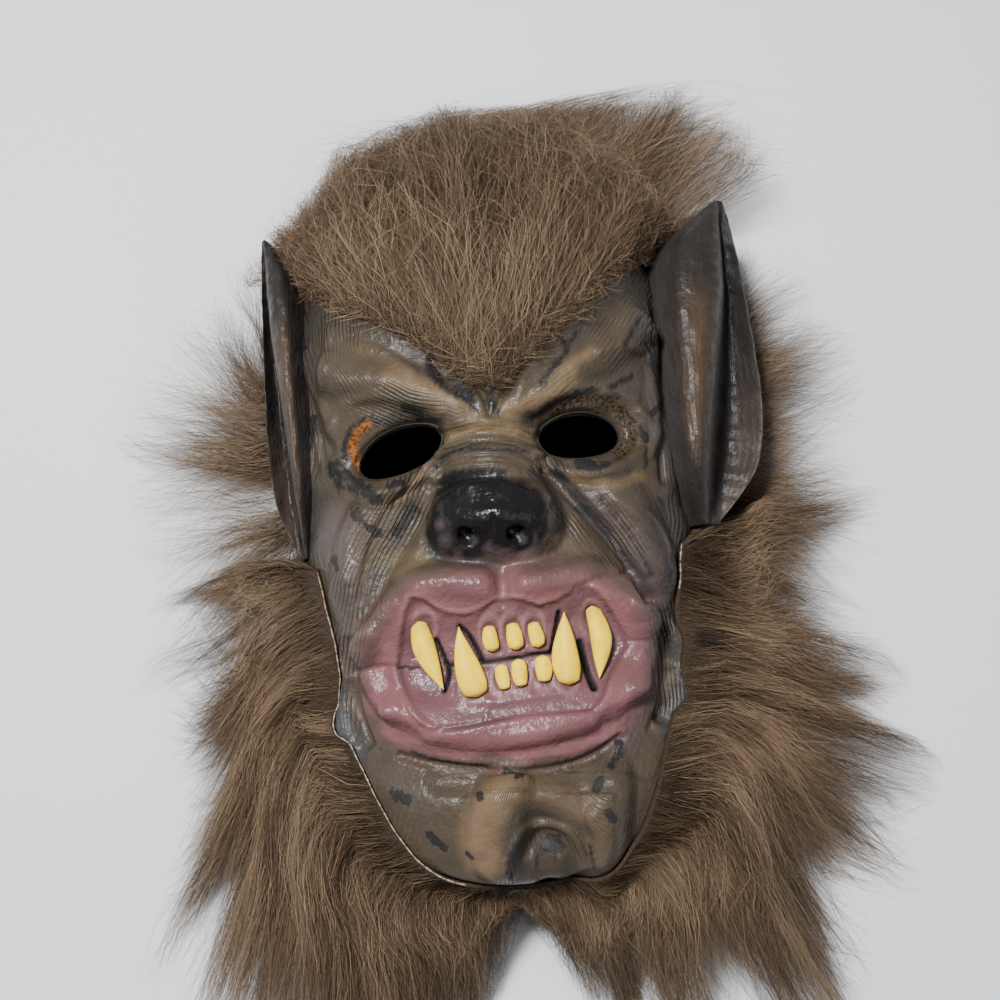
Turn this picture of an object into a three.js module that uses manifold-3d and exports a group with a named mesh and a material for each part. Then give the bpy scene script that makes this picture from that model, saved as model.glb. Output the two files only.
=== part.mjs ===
// A moulded latex werewolf mask with fur glued on, lying face up on its open back.
// Millimetres, +Z out of the face, +Y to the crown, +X to the right of someone looking at it.
// The face is one surface of cross-sections: each runs from rim to rim over a crest point,
// and a table of strokes raises or sinks it along short curves.
import * as THREE from "three";
import { mergeVertices } from "three/addons/utils/BufferGeometryUtils.js";
import Module from "manifold-3d";

const wasm = await Module();
wasm.setup();

// sizes of the face
const faceHeight = 354;      // chin edge to crown edge
const faceWidth = 200;       // temple to temple at the open back
const faceDepth = 112;       // brow above the surface the mask lies on
const wall = 2;              // latex skin
// eye holes and mouth
const eyeSpacing = 81;       // between the middles of the two holes
const eyeHeight = 34;        // of both holes above the nose
const eyeLength = 40;
const eyeOpening = 20.5;
const slitLength = 30;
const slitWidth = 1.8;
// ears
const earHeight = 156;
const earFlare = 48;         // right ear, from its root to its rim
const earTuck = 22;          // left ear, folded back
const earThickness = 4.5;
// teeth
const fangLength = 31;
const canineLength = 31;
const incisorLength = 11;
// fur and strap
const furThickness = 3;      // backing with the roots of the pile
const furDepth = 13;         // brushed pile over the crown
const furReach = 82;         // of the locks beside the ears
const beardReach = 96;       // of the locks below the jaw
const strapWidth = 38;
const strapThickness = 1.5;
const seatGap = 0.3;         // between glued pieces

// cross-sections from the chin edge to the crown edge: back and crest in shares of
// faceHeight (Y) and faceDepth (Z), half width in shares of faceWidth
const sections = [
  { backY: -0.282, backZ: 0.487, crestY: -0.446, crestZ: 0.482, half: 0.38, square: 2.0, steps: 2 },
  { backY: -0.266, backZ: 0.482, crestY: -0.446, crestZ: 0.768, half: 0.39, square: 2.1, steps: 3 },
  { backY: -0.249, backZ: 0.446, crestY: -0.37, crestZ: 0.893, half: 0.4, square: 2.2, steps: 4 },
  { backY: -0.232, backZ: 0.366, crestY: -0.299, crestZ: 0.902, half: 0.42, square: 2.2, steps: 4 },
  { backY: -0.209, backZ: 0.259, crestY: -0.246, crestZ: 0.938, half: 0.44, square: 2.2, steps: 4 },
  { backY: -0.172, backZ: 0.134, crestY: -0.181, crestZ: 0.982, half: 0.455, square: 2.3, steps: 5 },
  { backY: -0.107, backZ: 0.036, crestY: -0.107, crestZ: 0.982, half: 0.47, square: 2.5, steps: 5 },
  { backY: -0.028, backZ: 0, crestY: -0.028, crestZ: 0.929, half: 0.485, square: 2.6, steps: 5 },
  { backY: 0.062, backZ: 0, crestY: 0.062, crestZ: 0.884, half: 0.495, square: 2.8, steps: 5 },
  { backY: 0.136, backZ: 0, crestY: 0.158, crestZ: 0.929, half: 0.5, square: 2.7, steps: 4 },
  { backY: 0.175, backZ: 0, crestY: 0.282, crestZ: 0.955, half: 0.5, square: 2.5, steps: 3 },
  { backY: 0.209, backZ: 0, crestY: 0.415, crestZ: 0.821, half: 0.49, square: 2.3, steps: 2 },
  { backY: 0.226, backZ: 0, crestY: 0.517, crestZ: 0.5, half: 0.48, square: 2.2, steps: 2 },
  { backY: 0.232, backZ: 0, crestY: 0.554, crestZ: 0, half: 0.47, square: 2.2, steps: 0 },
];

// forms of the face: a curve from 0 by 1 to 2, x and reach in shares of faceWidth,
// y of faceHeight, lift of faceDepth; a higher edge makes a flatter top
const strokes = [
  { name: "bridge", x0: 0, y0: 0.096, x1: 0, y1: 0.045, x2: 0, y2: -0.006, reach: 0.135,
    lift: 0.08, edge: 2 },
  { name: "nosePad", x0: -0.06, y0: -0.008, x1: 0, y1: -0.014, x2: 0.06, y2: -0.014,
    reach: 0.1, lift: 0.134, edge: 4 },
  { name: "noseTop", x0: -0.05, y0: 0.025, x1: 0, y1: 0.031, x2: 0.05, y2: 0.025,
    reach: 0.035, lift: 0.018, edge: 2 },
  { name: "nostrilLeft", x0: -0.055, y0: -0.04, x1: -0.05, y1: -0.042, x2: -0.045,
    y2: -0.042, reach: 0.03, lift: -0.045, edge: 2 },
  { name: "nostrilRight", x0: 0.045, y0: -0.045, x1: 0.05, y1: -0.048, x2: 0.055,
    y2: -0.048, reach: 0.03, lift: -0.045, edge: 2 },
  { name: "socketLeft", x0: -0.27, y0: 0.082, x1: -0.215, y1: 0.093, x2: -0.155, y2: 0.107,
    reach: 0.09, lift: -0.08, edge: 2 },
  { name: "socketRight", x0: 0.15, y0: 0.099, x1: 0.215, y1: 0.096, x2: 0.28, y2: 0.099,
    reach: 0.09, lift: -0.08, edge: 2 },
  { name: "browLeft", x0: -0.07, y0: 0.144, x1: -0.19, y1: 0.175, x2: -0.34, y2: 0.209,
    reach: 0.07, lift: 0.071, edge: 2 },
  { name: "browRight", x0: 0.08, y0: 0.144, x1: 0.21, y1: 0.181, x2: 0.36, y2: 0.237,
    reach: 0.07, lift: 0.071, edge: 2 },
  { name: "glabella", x0: 0.005, y0: 0.13, x1: 0.005, y1: 0.153, x2: 0.005, y2: 0.181,
    reach: 0.05, lift: 0.027, edge: 2 },
  { name: "frownLeft", x0: -0.045, y0: 0.203, x1: -0.04, y1: 0.181, x2: -0.015, y2: 0.153,
    reach: 0.025, lift: -0.027, edge: 2 },
  { name: "frownRight", x0: 0.075, y0: 0.209, x1: 0.07, y1: 0.181, x2: 0.055, y2: 0.15,
    reach: 0.025, lift: -0.027, edge: 2 },
  { name: "cheekLeft", x0: -0.24, y0: 0.023, x1: -0.31, y1: -0.006, x2: -0.34, y2: -0.073,
    reach: 0.1, lift: 0.062, edge: 2 },
  { name: "cheekRight", x0: 0.24, y0: 0.023, x1: 0.31, y1: -0.006, x2: 0.345, y2: -0.079,
    reach: 0.1, lift: 0.062, edge: 2 },
  { name: "foldLeft", x0: -0.125, y0: 0.062, x1: -0.2, y1: 0.006, x2: -0.3, y2: -0.102,
    reach: 0.055, lift: -0.045, edge: 2 },
  { name: "foldRight", x0: 0.135, y0: 0.056, x1: 0.21, y1: 0, x2: 0.33, y2: -0.113,
    reach: 0.055, lift: -0.045, edge: 2 },
  { name: "bagLeft", x0: -0.33, y0: 0.062, x1: -0.23, y1: 0.037, x2: -0.135, y2: 0.062,
    reach: 0.035, lift: 0.027, edge: 2 },
  { name: "bagRight", x0: 0.14, y0: 0.056, x1: 0.23, y1: 0.037, x2: 0.33, y2: 0.062,
    reach: 0.035, lift: 0.027, edge: 2 },
  { name: "lipUpperLeft", x0: -0.3, y0: -0.147, x1: -0.23, y1: -0.073, x2: -0.05,
    y2: -0.088, reach: 0.065, lift: 0.062, edge: 2 },
  { name: "lipUpperRight", x0: 0.05, y0: -0.093, x1: 0.23, y1: -0.073, x2: 0.3, y2: -0.141,
    reach: 0.065, lift: 0.054, edge: 2 },
  { name: "gums", x0: -0.16, y0: -0.175, x1: 0.015, y1: -0.178, x2: 0.19, y2: -0.169,
    reach: 0.1, lift: -0.054, edge: 4 },
  { name: "lipLower", x0: -0.24, y0: -0.226, x1: 0.02, y1: -0.299, x2: 0.26, y2: -0.22,
    reach: 0.055, lift: 0.062, edge: 2 },
  { name: "cornerLeft", x0: -0.29, y0: -0.136, x1: -0.33, y1: -0.175, x2: -0.26,
    y2: -0.226, reach: 0.045, lift: 0.036, edge: 2 },
  { name: "cornerRight", x0: 0.29, y0: -0.13, x1: 0.33, y1: -0.169, x2: 0.27, y2: -0.226,
    reach: 0.045, lift: 0.036, edge: 2 },
  { name: "underLip", x0: -0.17, y0: -0.316, x1: 0.02, y1: -0.331, x2: 0.19, y2: -0.311,
    reach: 0.045, lift: -0.036, edge: 2 },
  { name: "chinLeft", x0: -0.035, y0: -0.339, x1: -0.05, y1: -0.385, x2: -0.06, y2: -0.418,
    reach: 0.072, lift: 0.082, edge: 2 },
  { name: "chinRight", x0: 0.195, y0: -0.333, x1: 0.185, y1: -0.395, x2: 0.14, y2: -0.444,
    reach: 0.07, lift: 0.071, edge: 2 },
  { name: "chinNotch", x0: 0.04, y0: -0.379, x1: 0.04, y1: -0.412, x2: 0.04, y2: -0.452,
    reach: 0.055, lift: -0.045, edge: 2 },
  { name: "jawLeft", x0: -0.4, y0: -0.175, x1: -0.42, y1: -0.22, x2: -0.39, y2: -0.245,
    reach: 0.07, lift: 0.062, edge: 2 },
  { name: "jawRight", x0: 0.39, y0: -0.169, x1: 0.41, y1: -0.22, x2: 0.38, y2: -0.245,
    reach: 0.07, lift: 0.062, edge: 2 },
  { name: "creaseJawLeft", x0: -0.35, y0: -0.147, x1: -0.365, y1: -0.215, x2: -0.34,
    y2: -0.26, reach: 0.04, lift: -0.045, edge: 2 },
  { name: "creaseJawRight", x0: 0.345, y0: -0.147, x1: 0.36, y1: -0.215, x2: 0.335,
    y2: -0.26, reach: 0.04, lift: -0.045, edge: 2 },
  { name: "templeLeft", x0: -0.46, y0: 0.271, x1: -0.41, y1: 0.186, x2: -0.38, y2: 0.113,
    reach: 0.05, lift: -0.036, edge: 2 },
  { name: "templeRight", x0: 0.42, y0: 0.271, x1: 0.415, y1: 0.169, x2: 0.4, y2: 0.045,
    reach: 0.04, lift: -0.036, edge: 2 },
];

// right ear from lobe to tip: y in shares of earHeight, x of the flare from the root
// line, z of faceDepth, for the root, the bulge, the ridge, the hollow and the rim
const earRows = [
  { y: 0, rootX: 0.04, rootZ: 0.41, bulgeX: 0.19, bulgeZ: 0.49, ridgeX: 0.29, ridgeZ: 0.51,
    floorX: 0.35, floorZ: 0.49, rimX: 0.42, rimZ: 0.46 },
  { y: 0.154, rootX: -0.04, rootZ: 0.55, bulgeX: 0.15, bulgeZ: 0.68, ridgeX: 0.31,
    ridgeZ: 0.66, floorX: 0.52, floorZ: 0.45, rimX: 0.85, rimZ: 0.49 },
  { y: 0.327, rootX: -0.08, rootZ: 0.59, bulgeX: 0.17, bulgeZ: 0.73, ridgeX: 0.4,
    ridgeZ: 0.69, floorX: 0.64, floorZ: 0.42, rimX: 0.98, rimZ: 0.5 },
  { y: 0.519, rootX: -0.06, rootZ: 0.59, bulgeX: 0.21, bulgeZ: 0.74, ridgeX: 0.52,
    ridgeZ: 0.68, floorX: 0.73, floorZ: 0.41, rimX: 0.98, rimZ: 0.5 },
  { y: 0.712, rootX: -0.02, rootZ: 0.55, bulgeX: 0.23, bulgeZ: 0.71, ridgeX: 0.63,
    ridgeZ: 0.66, floorX: 0.78, floorZ: 0.45, rimX: 0.94, rimZ: 0.51 },
  { y: 0.872, rootX: 0.13, rootZ: 0.5, bulgeX: 0.35, bulgeZ: 0.64, ridgeX: 0.67,
    ridgeZ: 0.63, floorX: 0.77, floorZ: 0.52, rimX: 0.88, rimZ: 0.54 },
  { y: 1, rootX: 0.63, rootZ: 0.51, bulgeX: 0.69, bulgeZ: 0.56, ridgeX: 0.73, ridgeZ: 0.58,
    floorX: 0.77, floorZ: 0.57, rimX: 0.81, rimZ: 0.55 },
];
const earPoints = ["root", "bulge", "ridge", "floor", "rim"];
const earRoot = 0.42 * faceWidth;
const earLobe = -0.017 * faceHeight;

// a smooth curve through one column of a table, at row number t
function columnAt(rows, column, t) {
  const last = rows.length - 1;
  const i = Math.min(Math.max(Math.floor(t), 0), last - 1);
  const f = t - i;
  const at = (k) => rows[Math.min(Math.max(k, 0), last)][column];
  const a = at(i - 1);
  const b = at(i);
  const c = at(i + 1);
  const d = at(i + 2);
  const slopeB = (c - a) / 2;
  const slopeC = (d - b) / 2;
  const f2 = f * f;
  const f3 = f2 * f;
  return (2 * f3 - 3 * f2 + 1) * b + (f3 - 2 * f2 + f) * slopeB
    + (3 * f2 - 2 * f3) * c + (f3 - f2) * slopeC;
}

const sub = (a, b) => [a[0] - b[0], a[1] - b[1], a[2] - b[2]];
const dot = (a, b) => a[0] * b[0] + a[1] * b[1] + a[2] * b[2];
const cross = (a, b) => [a[1] * b[2] - a[2] * b[1], a[2] * b[0] - a[0] * b[2], a[0] * b[1] - a[1] * b[0]];
const along = (a, b, k) => [a[0] + b[0] * k, a[1] + b[1] * k, a[2] + b[2] * k];
const mix = (a, b, k) => [a[0] + (b[0] - a[0]) * k, a[1] + (b[1] - a[1]) * k, a[2] + (b[2] - a[2]) * k];
const unit = (a) => {
  const n = Math.hypot(a[0], a[1], a[2]) || 1;
  return [a[0] / n, a[1] / n, a[2] / n];
};
const smooth = (x) => {
  const k = Math.min(Math.max(x, 0), 1);
  return k * k * (3 - 2 * k);
};

// angle from the crest for u: the front takes 46 of the 90 degrees up to u = 0.6
function angleAt(u) {
  const a = Math.abs(u);
  let degrees = 46 * a / 0.6;
  if (a > 0.6) degrees = 46 + (a - 0.6) / 0.3 * 20;
  if (a > 0.9) degrees = 66 + (a - 0.9) / 0.1 * 24;
  return Math.sign(u) * degrees * Math.PI / 180;
}

// plain head: u runs from the left rim (-1) to the right (1), t is the section number
function headPoint(u, t) {
  const angle = angleAt(u);
  const square = columnAt(sections, "square", t);
  const s = Math.abs(Math.sin(angle));
  const c = Math.abs(Math.cos(angle));
  const rho = Math.pow(Math.pow(s, square) + Math.pow(c, square), -1 / square);
  const side = Math.sign(angle) * rho * s;
  const rise = rho * c;
  const backY = columnAt(sections, "backY", t) * faceHeight;
  const backZ = Math.max(columnAt(sections, "backZ", t), 0) * faceDepth;
  const crestY = columnAt(sections, "crestY", t) * faceHeight;
  const crestZ = columnAt(sections, "crestZ", t) * faceDepth;
  return [side * columnAt(sections, "half", t) * faceWidth,
    backY + (crestY - backY) * rise, backZ + (crestZ - backZ) * rise];
}

const lastT = sections.length - 1;
function normalOf(surface, nearU, nearT) {
  const e = 0.01;
  const u = Math.min(Math.max(nearU, -0.98), 0.98);
  const t = Math.min(Math.max(nearT, 0.4), lastT - 0.3);
  const du = sub(surface(u + e, t), surface(u - e, t));
  const dt = sub(surface(u, t + e), surface(u, t - e));
  return unit(cross(du, dt));
}

// the u and t of the head's front at a given x and y, by repeated correction
function placeOn(x, y) {
  let u = 0.6 * x / (0.38 * faceWidth);
  let t = 6;
  for (let i = 0; i < 24; i += 1) {
    const p = headPoint(u, t);
    const pu = headPoint(u + 0.01, t);
    const pt = headPoint(u, t + 0.02);
    const stepU = (x - p[0]) / Math.max((pu[0] - p[0]) / 0.01, 0.1 * faceWidth);
    const stepT = (y - p[1]) / Math.max((pt[1] - p[1]) / 0.02, 0.02 * faceHeight);
    u = Math.min(Math.max(u + 0.8 * stepU, -0.97), 0.97);
    t = Math.min(Math.max(t + 0.8 * stepT, 0.3), lastT - 0.3);
  }
  return [u, t];
}

const strokeCurves = strokes.map((row) => {
  const ends = [0, 1, 2].map((k) => {
    const [u, t] = placeOn(row["x" + k] * faceWidth, row["y" + k] * faceHeight);
    return headPoint(u, t);
  });
  const points = [];
  for (let k = 0; k <= 8; k += 1) {
    const f = k / 8;
    points.push(mix(mix(ends[0], ends[1], f), mix(ends[1], ends[2], f), f));
  }
  return { points, reach: row.reach * faceWidth, lift: row.lift * faceDepth, edge: row.edge };
});

function distanceTo(points, p) {
  let best = Infinity;
  for (let i = 0; i + 1 < points.length; i += 1) {
    const d = sub(points[i + 1], points[i]);
    const f = Math.min(Math.max(dot(sub(p, points[i]), d) / dot(d, d), 0), 1);
    const q = sub(p, along(points[i], d, f));
    best = Math.min(best, dot(q, q));
  }
  return Math.sqrt(best);
}

// height of all strokes together: each is lift times (1 - (distance / reach)^edge)^2,
// and it dies away towards the side rims
function reliefAt(p, u) {
  const rimFade = smooth((1 - Math.abs(u)) / 0.14);
  let sum = 0;
  for (const s of strokeCurves) {
    const k = distanceTo(s.points, p) / s.reach;
    if (k < 1) sum += s.lift * Math.pow(1 - Math.pow(k, s.edge), 2);
  }
  return sum * rimFade;
}

function facePoint(u, t) {
  const p = headPoint(u, t);
  return along(p, normalOf(headPoint, u, t), reliefAt(p, u));
}

// the skin's inside follows the deepest relief nearby, so that it never breaks through
function hollowPoint(u, t, distance) {
  let relief = Infinity;
  for (const [du, dt] of [[0, 0], [1, 0], [-1, 0], [0, 1], [0, -1], [1, 1], [1, -1], [-1, 1], [-1, -1]]) {
    const nearU = Math.min(Math.max(u + du * 0.045, -1), 1);
    const nearT = Math.min(Math.max(t + dt * 0.17, 0), lastT);
    relief = Math.min(relief, reliefAt(headPoint(nearU, nearT), nearU));
  }
  return along(headPoint(u, t), normalOf(headPoint, u, t), relief - distance);
}

// the same, over its hollows: what is glued on spans them
function spanPoint(u, t) {
  const p = headPoint(u, t);
  return along(p, normalOf(headPoint, u, t), Math.max(reliefAt(p, u), 0));
}

// closed solid from rows of points: a skin of quads, and fans over the two end rows;
// each row closes on itself
function solidOf(rows) {
  const position = [];
  const index = [];
  const n = rows[0].length;
  rows.forEach((row) => row.forEach((p) => position.push(...p)));
  for (let j = 0; j + 1 < rows.length; j += 1) {
    for (let i = 0; i < n; i += 1) {
      const a = j * n + i;
      const b = j * n + (i + 1) % n;
      index.push(a, b, b + n, a, b + n, a + n);
    }
  }
  [0, rows.length - 1].forEach((j) => {
    const middle = rows[j].reduce((m, p) => along(m, p, 1 / n), [0, 0, 0]);
    const hub = position.length / 3;
    position.push(...middle);
    for (let i = 0; i < n; i += 1) {
      const a = j * n + i;
      const b = j * n + (i + 1) % n;
      if (j === 0) index.push(hub, b, a);
      else index.push(hub, a, b);
    }
  });
  const geometry = new THREE.BufferGeometry();
  geometry.setAttribute("position", new THREE.Float32BufferAttribute(position, 3));
  geometry.setIndex(index);
  return cutter(geometry);
}

// a closed geometry as a solid, with its faces turned out
function cutter(geometry) {
  geometry.deleteAttribute("normal");
  geometry.deleteAttribute("uv");
  const merged = mergeVertices(geometry, 1e-4);
  const points = merged.attributes.position;
  const at = (k) => [points.getX(k), points.getY(k), points.getZ(k)];
  const triVerts = [];
  const raw = merged.index.array;
  let volume = 0;
  for (let i = 0; i < raw.length; i += 3) {
    const [a, b, c] = [raw[i], raw[i + 1], raw[i + 2]];
    if (a !== b && b !== c && c !== a) triVerts.push(a, b, c);
    volume += dot(at(a), cross(at(b), at(c)));
  }
  if (volume < 0) triVerts.reverse();
  const solid = new wasm.Manifold(new wasm.Mesh({
    numProp: 3,
    vertProperties: new Float32Array(merged.attributes.position.array),
    triVerts: new Uint32Array(triVerts),
  }));
  return solid;
}

// stations along the head, and across it
function stationsT() {
  const list = [];
  sections.forEach((row, k) => {
    for (let i = 0; i < row.steps; i += 1) list.push(k + i / row.steps);
  });
  list.push(lastT);
  return list;
}
const spread = (from, to, n) => Array.from({ length: n + 1 }, (_, i) => from + (to - from) * i / n);

// the face as a full body, closed over the back: its skin raised by a distance, or sunk by
// one along the hollow side and carried deeper behind the back
function bodyAt(distance, columns, ts, deeper) {
  const us = [...spread(-1, -0.9, columns.rim), ...spread(-0.9, -0.6, columns.side).slice(1),
    ...spread(-0.6, 0.6, columns.front).slice(1), ...spread(0.6, 0.9, columns.side).slice(1),
    ...spread(0.9, 1, columns.rim).slice(1)];
  const rows = ts.map((t) => {
    const row = us.map((u) => {
      if (deeper > 0) return hollowPoint(u, t, -distance);
      const p = facePoint(u, t);
      return distance === 0 ? p : along(p, normalOf(facePoint, u, t), distance);
    });
    if (deeper > 0) {
      const ends = [row[0], row[row.length - 1]].map((p) => [p[0], p[1], p[2] - deeper]);
      row.unshift(ends[0]);
      row.push(ends[1]);
    }
    return row;
  });
  if (deeper > 0) {
    const lower = (row) => row.map((p) => [p[0], p[1], Math.min(p[2], row[1][2]) - deeper]);
    rows.unshift(lower(rows[0]));
    rows.push(lower(rows[rows.length - 1]));
  }
  return solidOf(rows);
}

// an ear plate: the front through the five points of each row, the back one thickness behind
function earSolid(side, flare, thickness) {
  const front = (a, r) => {
    const at = (name) => columnAt(earRows, name, r);
    const xs = earPoints.map((name) => ({ x: at(name + "X"), z: at(name + "Z") }));
    return [earRoot + columnAt(xs, "x", a) * flare,
      earLobe + at("y") * earHeight, columnAt(xs, "z", a) * faceDepth];
  };
  const rows = spread(0, earRows.length - 1, 10).map((r) => {
    const as = spread(0, 4, 6);
    const taper = smooth(Math.min(r, earRows.length - 1 - r) / 1.2);
    const depth = thickness * (0.35 + 0.65 * taper);
    const top = as.map((a) => front(a, r));
    const low = as.map((a) => along(front(a, r), [-0.25, 0, -0.97], depth * (a > 3.5 ? 0.6 : 1)));
    return [...top, ...low.reverse()].map((p) => [p[0] * side, p[1], p[2]]);
  });
  if (side < 0) rows.forEach((row) => row.reverse());
  return solidOf(rows.map((row) => row.reverse()));
}

const faceColumns = { rim: 1, side: 4, front: 25 };
const ts = stationsT();
const outer = bodyAt(0, faceColumns, ts, 0);
const innerColumns = { rim: 1, side: 2, front: 13 };
const innerDrop = 0.113 * faceDepth;
const innerTs = ts.filter((_, i) => i % 2 === 0);
const inner = bodyAt(-wall, innerColumns, innerTs, innerDrop);
const ears = [earSolid(1, earFlare, earThickness), earSolid(-1, earTuck, earThickness)];
const body = ears.reduce((sum, ear) => sum.add(ear), outer);

// eye holes: upright oval prisms, the left one tilted up to the nose
function ovalPrism(x, y, length, width, tilt) {
  const shape = new THREE.Shape();
  shape.absellipse(0, 0, length / 2, width / 2, 0, Math.PI * 2, false, 0);
  const geometry = new THREE.ExtrudeGeometry(shape,
    { depth: faceDepth, bevelEnabled: false, curveSegments: 11 });
  geometry.rotateZ(tilt * Math.PI / 180);
  geometry.translate(x, y, 0.4 * faceDepth);
  return cutter(geometry);
}
const eyeHoles = [ovalPrism(-eyeSpacing / 2, eyeHeight, eyeLength, eyeOpening, 16),
  ovalPrism(eyeSpacing / 2, eyeHeight, eyeLength * 0.92, eyeOpening, 1)];
const slitY = -0.178 * faceHeight;
const slitBox = new THREE.BoxGeometry(slitLength, slitWidth, faceDepth);
slitBox.rotateZ(0.045);
slitBox.translate(0.028 * faceWidth, slitY, faceDepth);
const slit = cutter(slitBox);

const latex = [inner, ...eyeHoles, slit].reduce((rest, cut) => rest.subtract(cut), body);

// teeth: base and tip in shares of faceWidth (x) and faceHeight (y), across in shares of
// its length; girth follows a drop that is fullest at a share of the length
const toothRows = [
  { name: "upper_canine_left", x: -0.186, y: -0.125, aim: -74, length: canineLength,
    across: 0.32, full: 0.35, bow: -0.05 },
  { name: "upper_canine_right", x: 0.19, y: -0.124, aim: -89, length: canineLength,
    across: 0.3, full: 0.45, bow: 0.08 },
  { name: "lower_fang_left", x: -0.07, y: -0.222, aim: 101, length: fangLength,
    across: 0.4, full: 0.22, bow: 0.04 },
  { name: "lower_fang_right", x: 0.126, y: -0.217, aim: 89, length: fangLength,
    across: 0.39, full: 0.3, bow: 0.02 },
  { name: "upper_incisor_left", x: -0.036, y: -0.138, aim: -85, length: incisorLength,
    across: 0.62, full: 0.55, bow: 0 },
  { name: "upper_incisor_middle", x: 0.015, y: -0.137, aim: -84,
    length: incisorLength * 1.05, across: 0.62, full: 0.6, bow: 0 },
  { name: "upper_incisor_right", x: 0.061, y: -0.138, aim: -83, length: incisorLength,
    across: 0.6, full: 0.55, bow: 0 },
  { name: "lower_incisor_left", x: -0.012, y: -0.216, aim: 95, length: incisorLength,
    across: 0.55, full: 0.5, bow: 0 },
  { name: "lower_incisor_middle", x: 0.024, y: -0.214, aim: 93,
    length: incisorLength * 1.08, across: 0.58, full: 0.5, bow: 0 },
  { name: "lower_incisor_right", x: 0.073, y: -0.211, aim: 88,
    length: incisorLength * 1.05, across: 0.64, full: 0.5, bow: 0 },
];
const raised = body.translate([0, 0, seatGap]);
function surfaceHeight(x, y) {
  const [u, t] = placeOn(x, y);
  return facePoint(u, t)[2];
}
function toothSolid(row) {
  const turn = row.aim * Math.PI / 180;
  const forward = [Math.cos(turn), Math.sin(turn)];
  const sideways = [-forward[1], forward[0]];
  const pointed = row.length > 1.5 * incisorLength;
  const rings = spread(0, 1, pointed ? 6 : 3).map((f) => {
    const rise = Math.sin(Math.PI / 2 * Math.min(f / row.full, 1));
    const fall = pointed ? 1 - Math.pow(Math.max(f - row.full, 0) / (1 - row.full), 1.7)
      : 1 - 0.45 * Math.pow(Math.max(f - row.full, 0) / (1 - row.full), 3);
    const girth = row.length * row.across / 2 * Math.max((0.62 + 0.38 * rise) * fall, 0.07);
    const bow = row.bow * row.length * Math.sin(Math.PI * f);
    const x = row.x * faceWidth + forward[0] * f * row.length + sideways[0] * bow;
    const y = row.y * faceHeight + forward[1] * f * row.length + sideways[1] * bow;
    const z = surfaceHeight(x, y) + (pointed ? 2.2 * Math.sin(Math.PI * Math.min(f * 0.8 + 0.1, 1)) : 1.2);
    return spread(0, 1, 8).slice(0, 8).map((g) => {
      const a = g * Math.PI * 2;
      return [x + sideways[0] * girth * Math.cos(a), y + sideways[1] * girth * Math.cos(a),
        z + (pointed ? 0.62 : 0.75) * girth * Math.sin(a)];
    });
  });
  return solidOf(rings).subtract(raised);
}

// fur: locks are columns from their root line on the head, over its edge, to their tips,
// and the columns between them stop short, so that the pile ends in points
const clear = 1.1;
const onFace = (u, t, distance) => along(spanPoint(u, t), normalOf(headPoint, u, t), distance);
const between = (a, b) => Object.fromEntries(Object.keys(a).map((key) => [key, (a[key] + b[key]) / 2]));

function lockColumn(row, layout, isLock) {
  const at = (g) => [row.innerU + (row.outerU - row.innerU) * g, row.innerT + (row.outerT - row.innerT) * g];
  const held = spread(0, 1, layout.held);
  const under = held.map((g) => onFace(...at(g), clear));
  const ups = held.map((g) => normalOf(facePoint, ...at(g)));
  const edge = under[under.length - 1];
  const reach = isLock ? 1 : layout.notch;
  const tip = [edge[0] + row.x * layout.reach * reach, edge[1] + row.y * layout.reach * reach,
    edge[2] + (row.z * layout.reach - edge[2]) * reach];
  const rim = ups[ups.length - 1];
  const via = along(mix(edge, tip, 0.45), [0, 0, 1], layout.lift * layout.reach);
  for (let k = 1; k <= layout.free; k += 1) {
    const f = k / layout.free;
    under.push(mix(mix(edge, via, f), mix(via, tip, f), f));
    ups.push(unit(mix(rim, [0, 0, 1], Math.min(1.6 * f, 1))));
  }
  const total = under.length - 1;
  const body = (isLock ? row.size : row.size * layout.valley) * layout.pile;
  const over = under.map((p, k) => {
    const g = k / total;
    const swell = smooth(g / layout.root) * (1 - smooth((g - layout.taper) / (1.02 - layout.taper)));
    return along(p, ups[k], furThickness * (g > 0.98 ? 0.4 : 1) + body * swell);
  });
  return [...over, ...under.reverse()];
}

function lockSheet(rows, layout) {
  const columns = [];
  rows.forEach((row, k) => {
    columns.push(lockColumn(row, layout, true));
    if (k + 1 < rows.length) columns.push(lockColumn(between(row, rows[k + 1]), layout, false));
  });
  return solidOf(columns);
}

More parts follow.
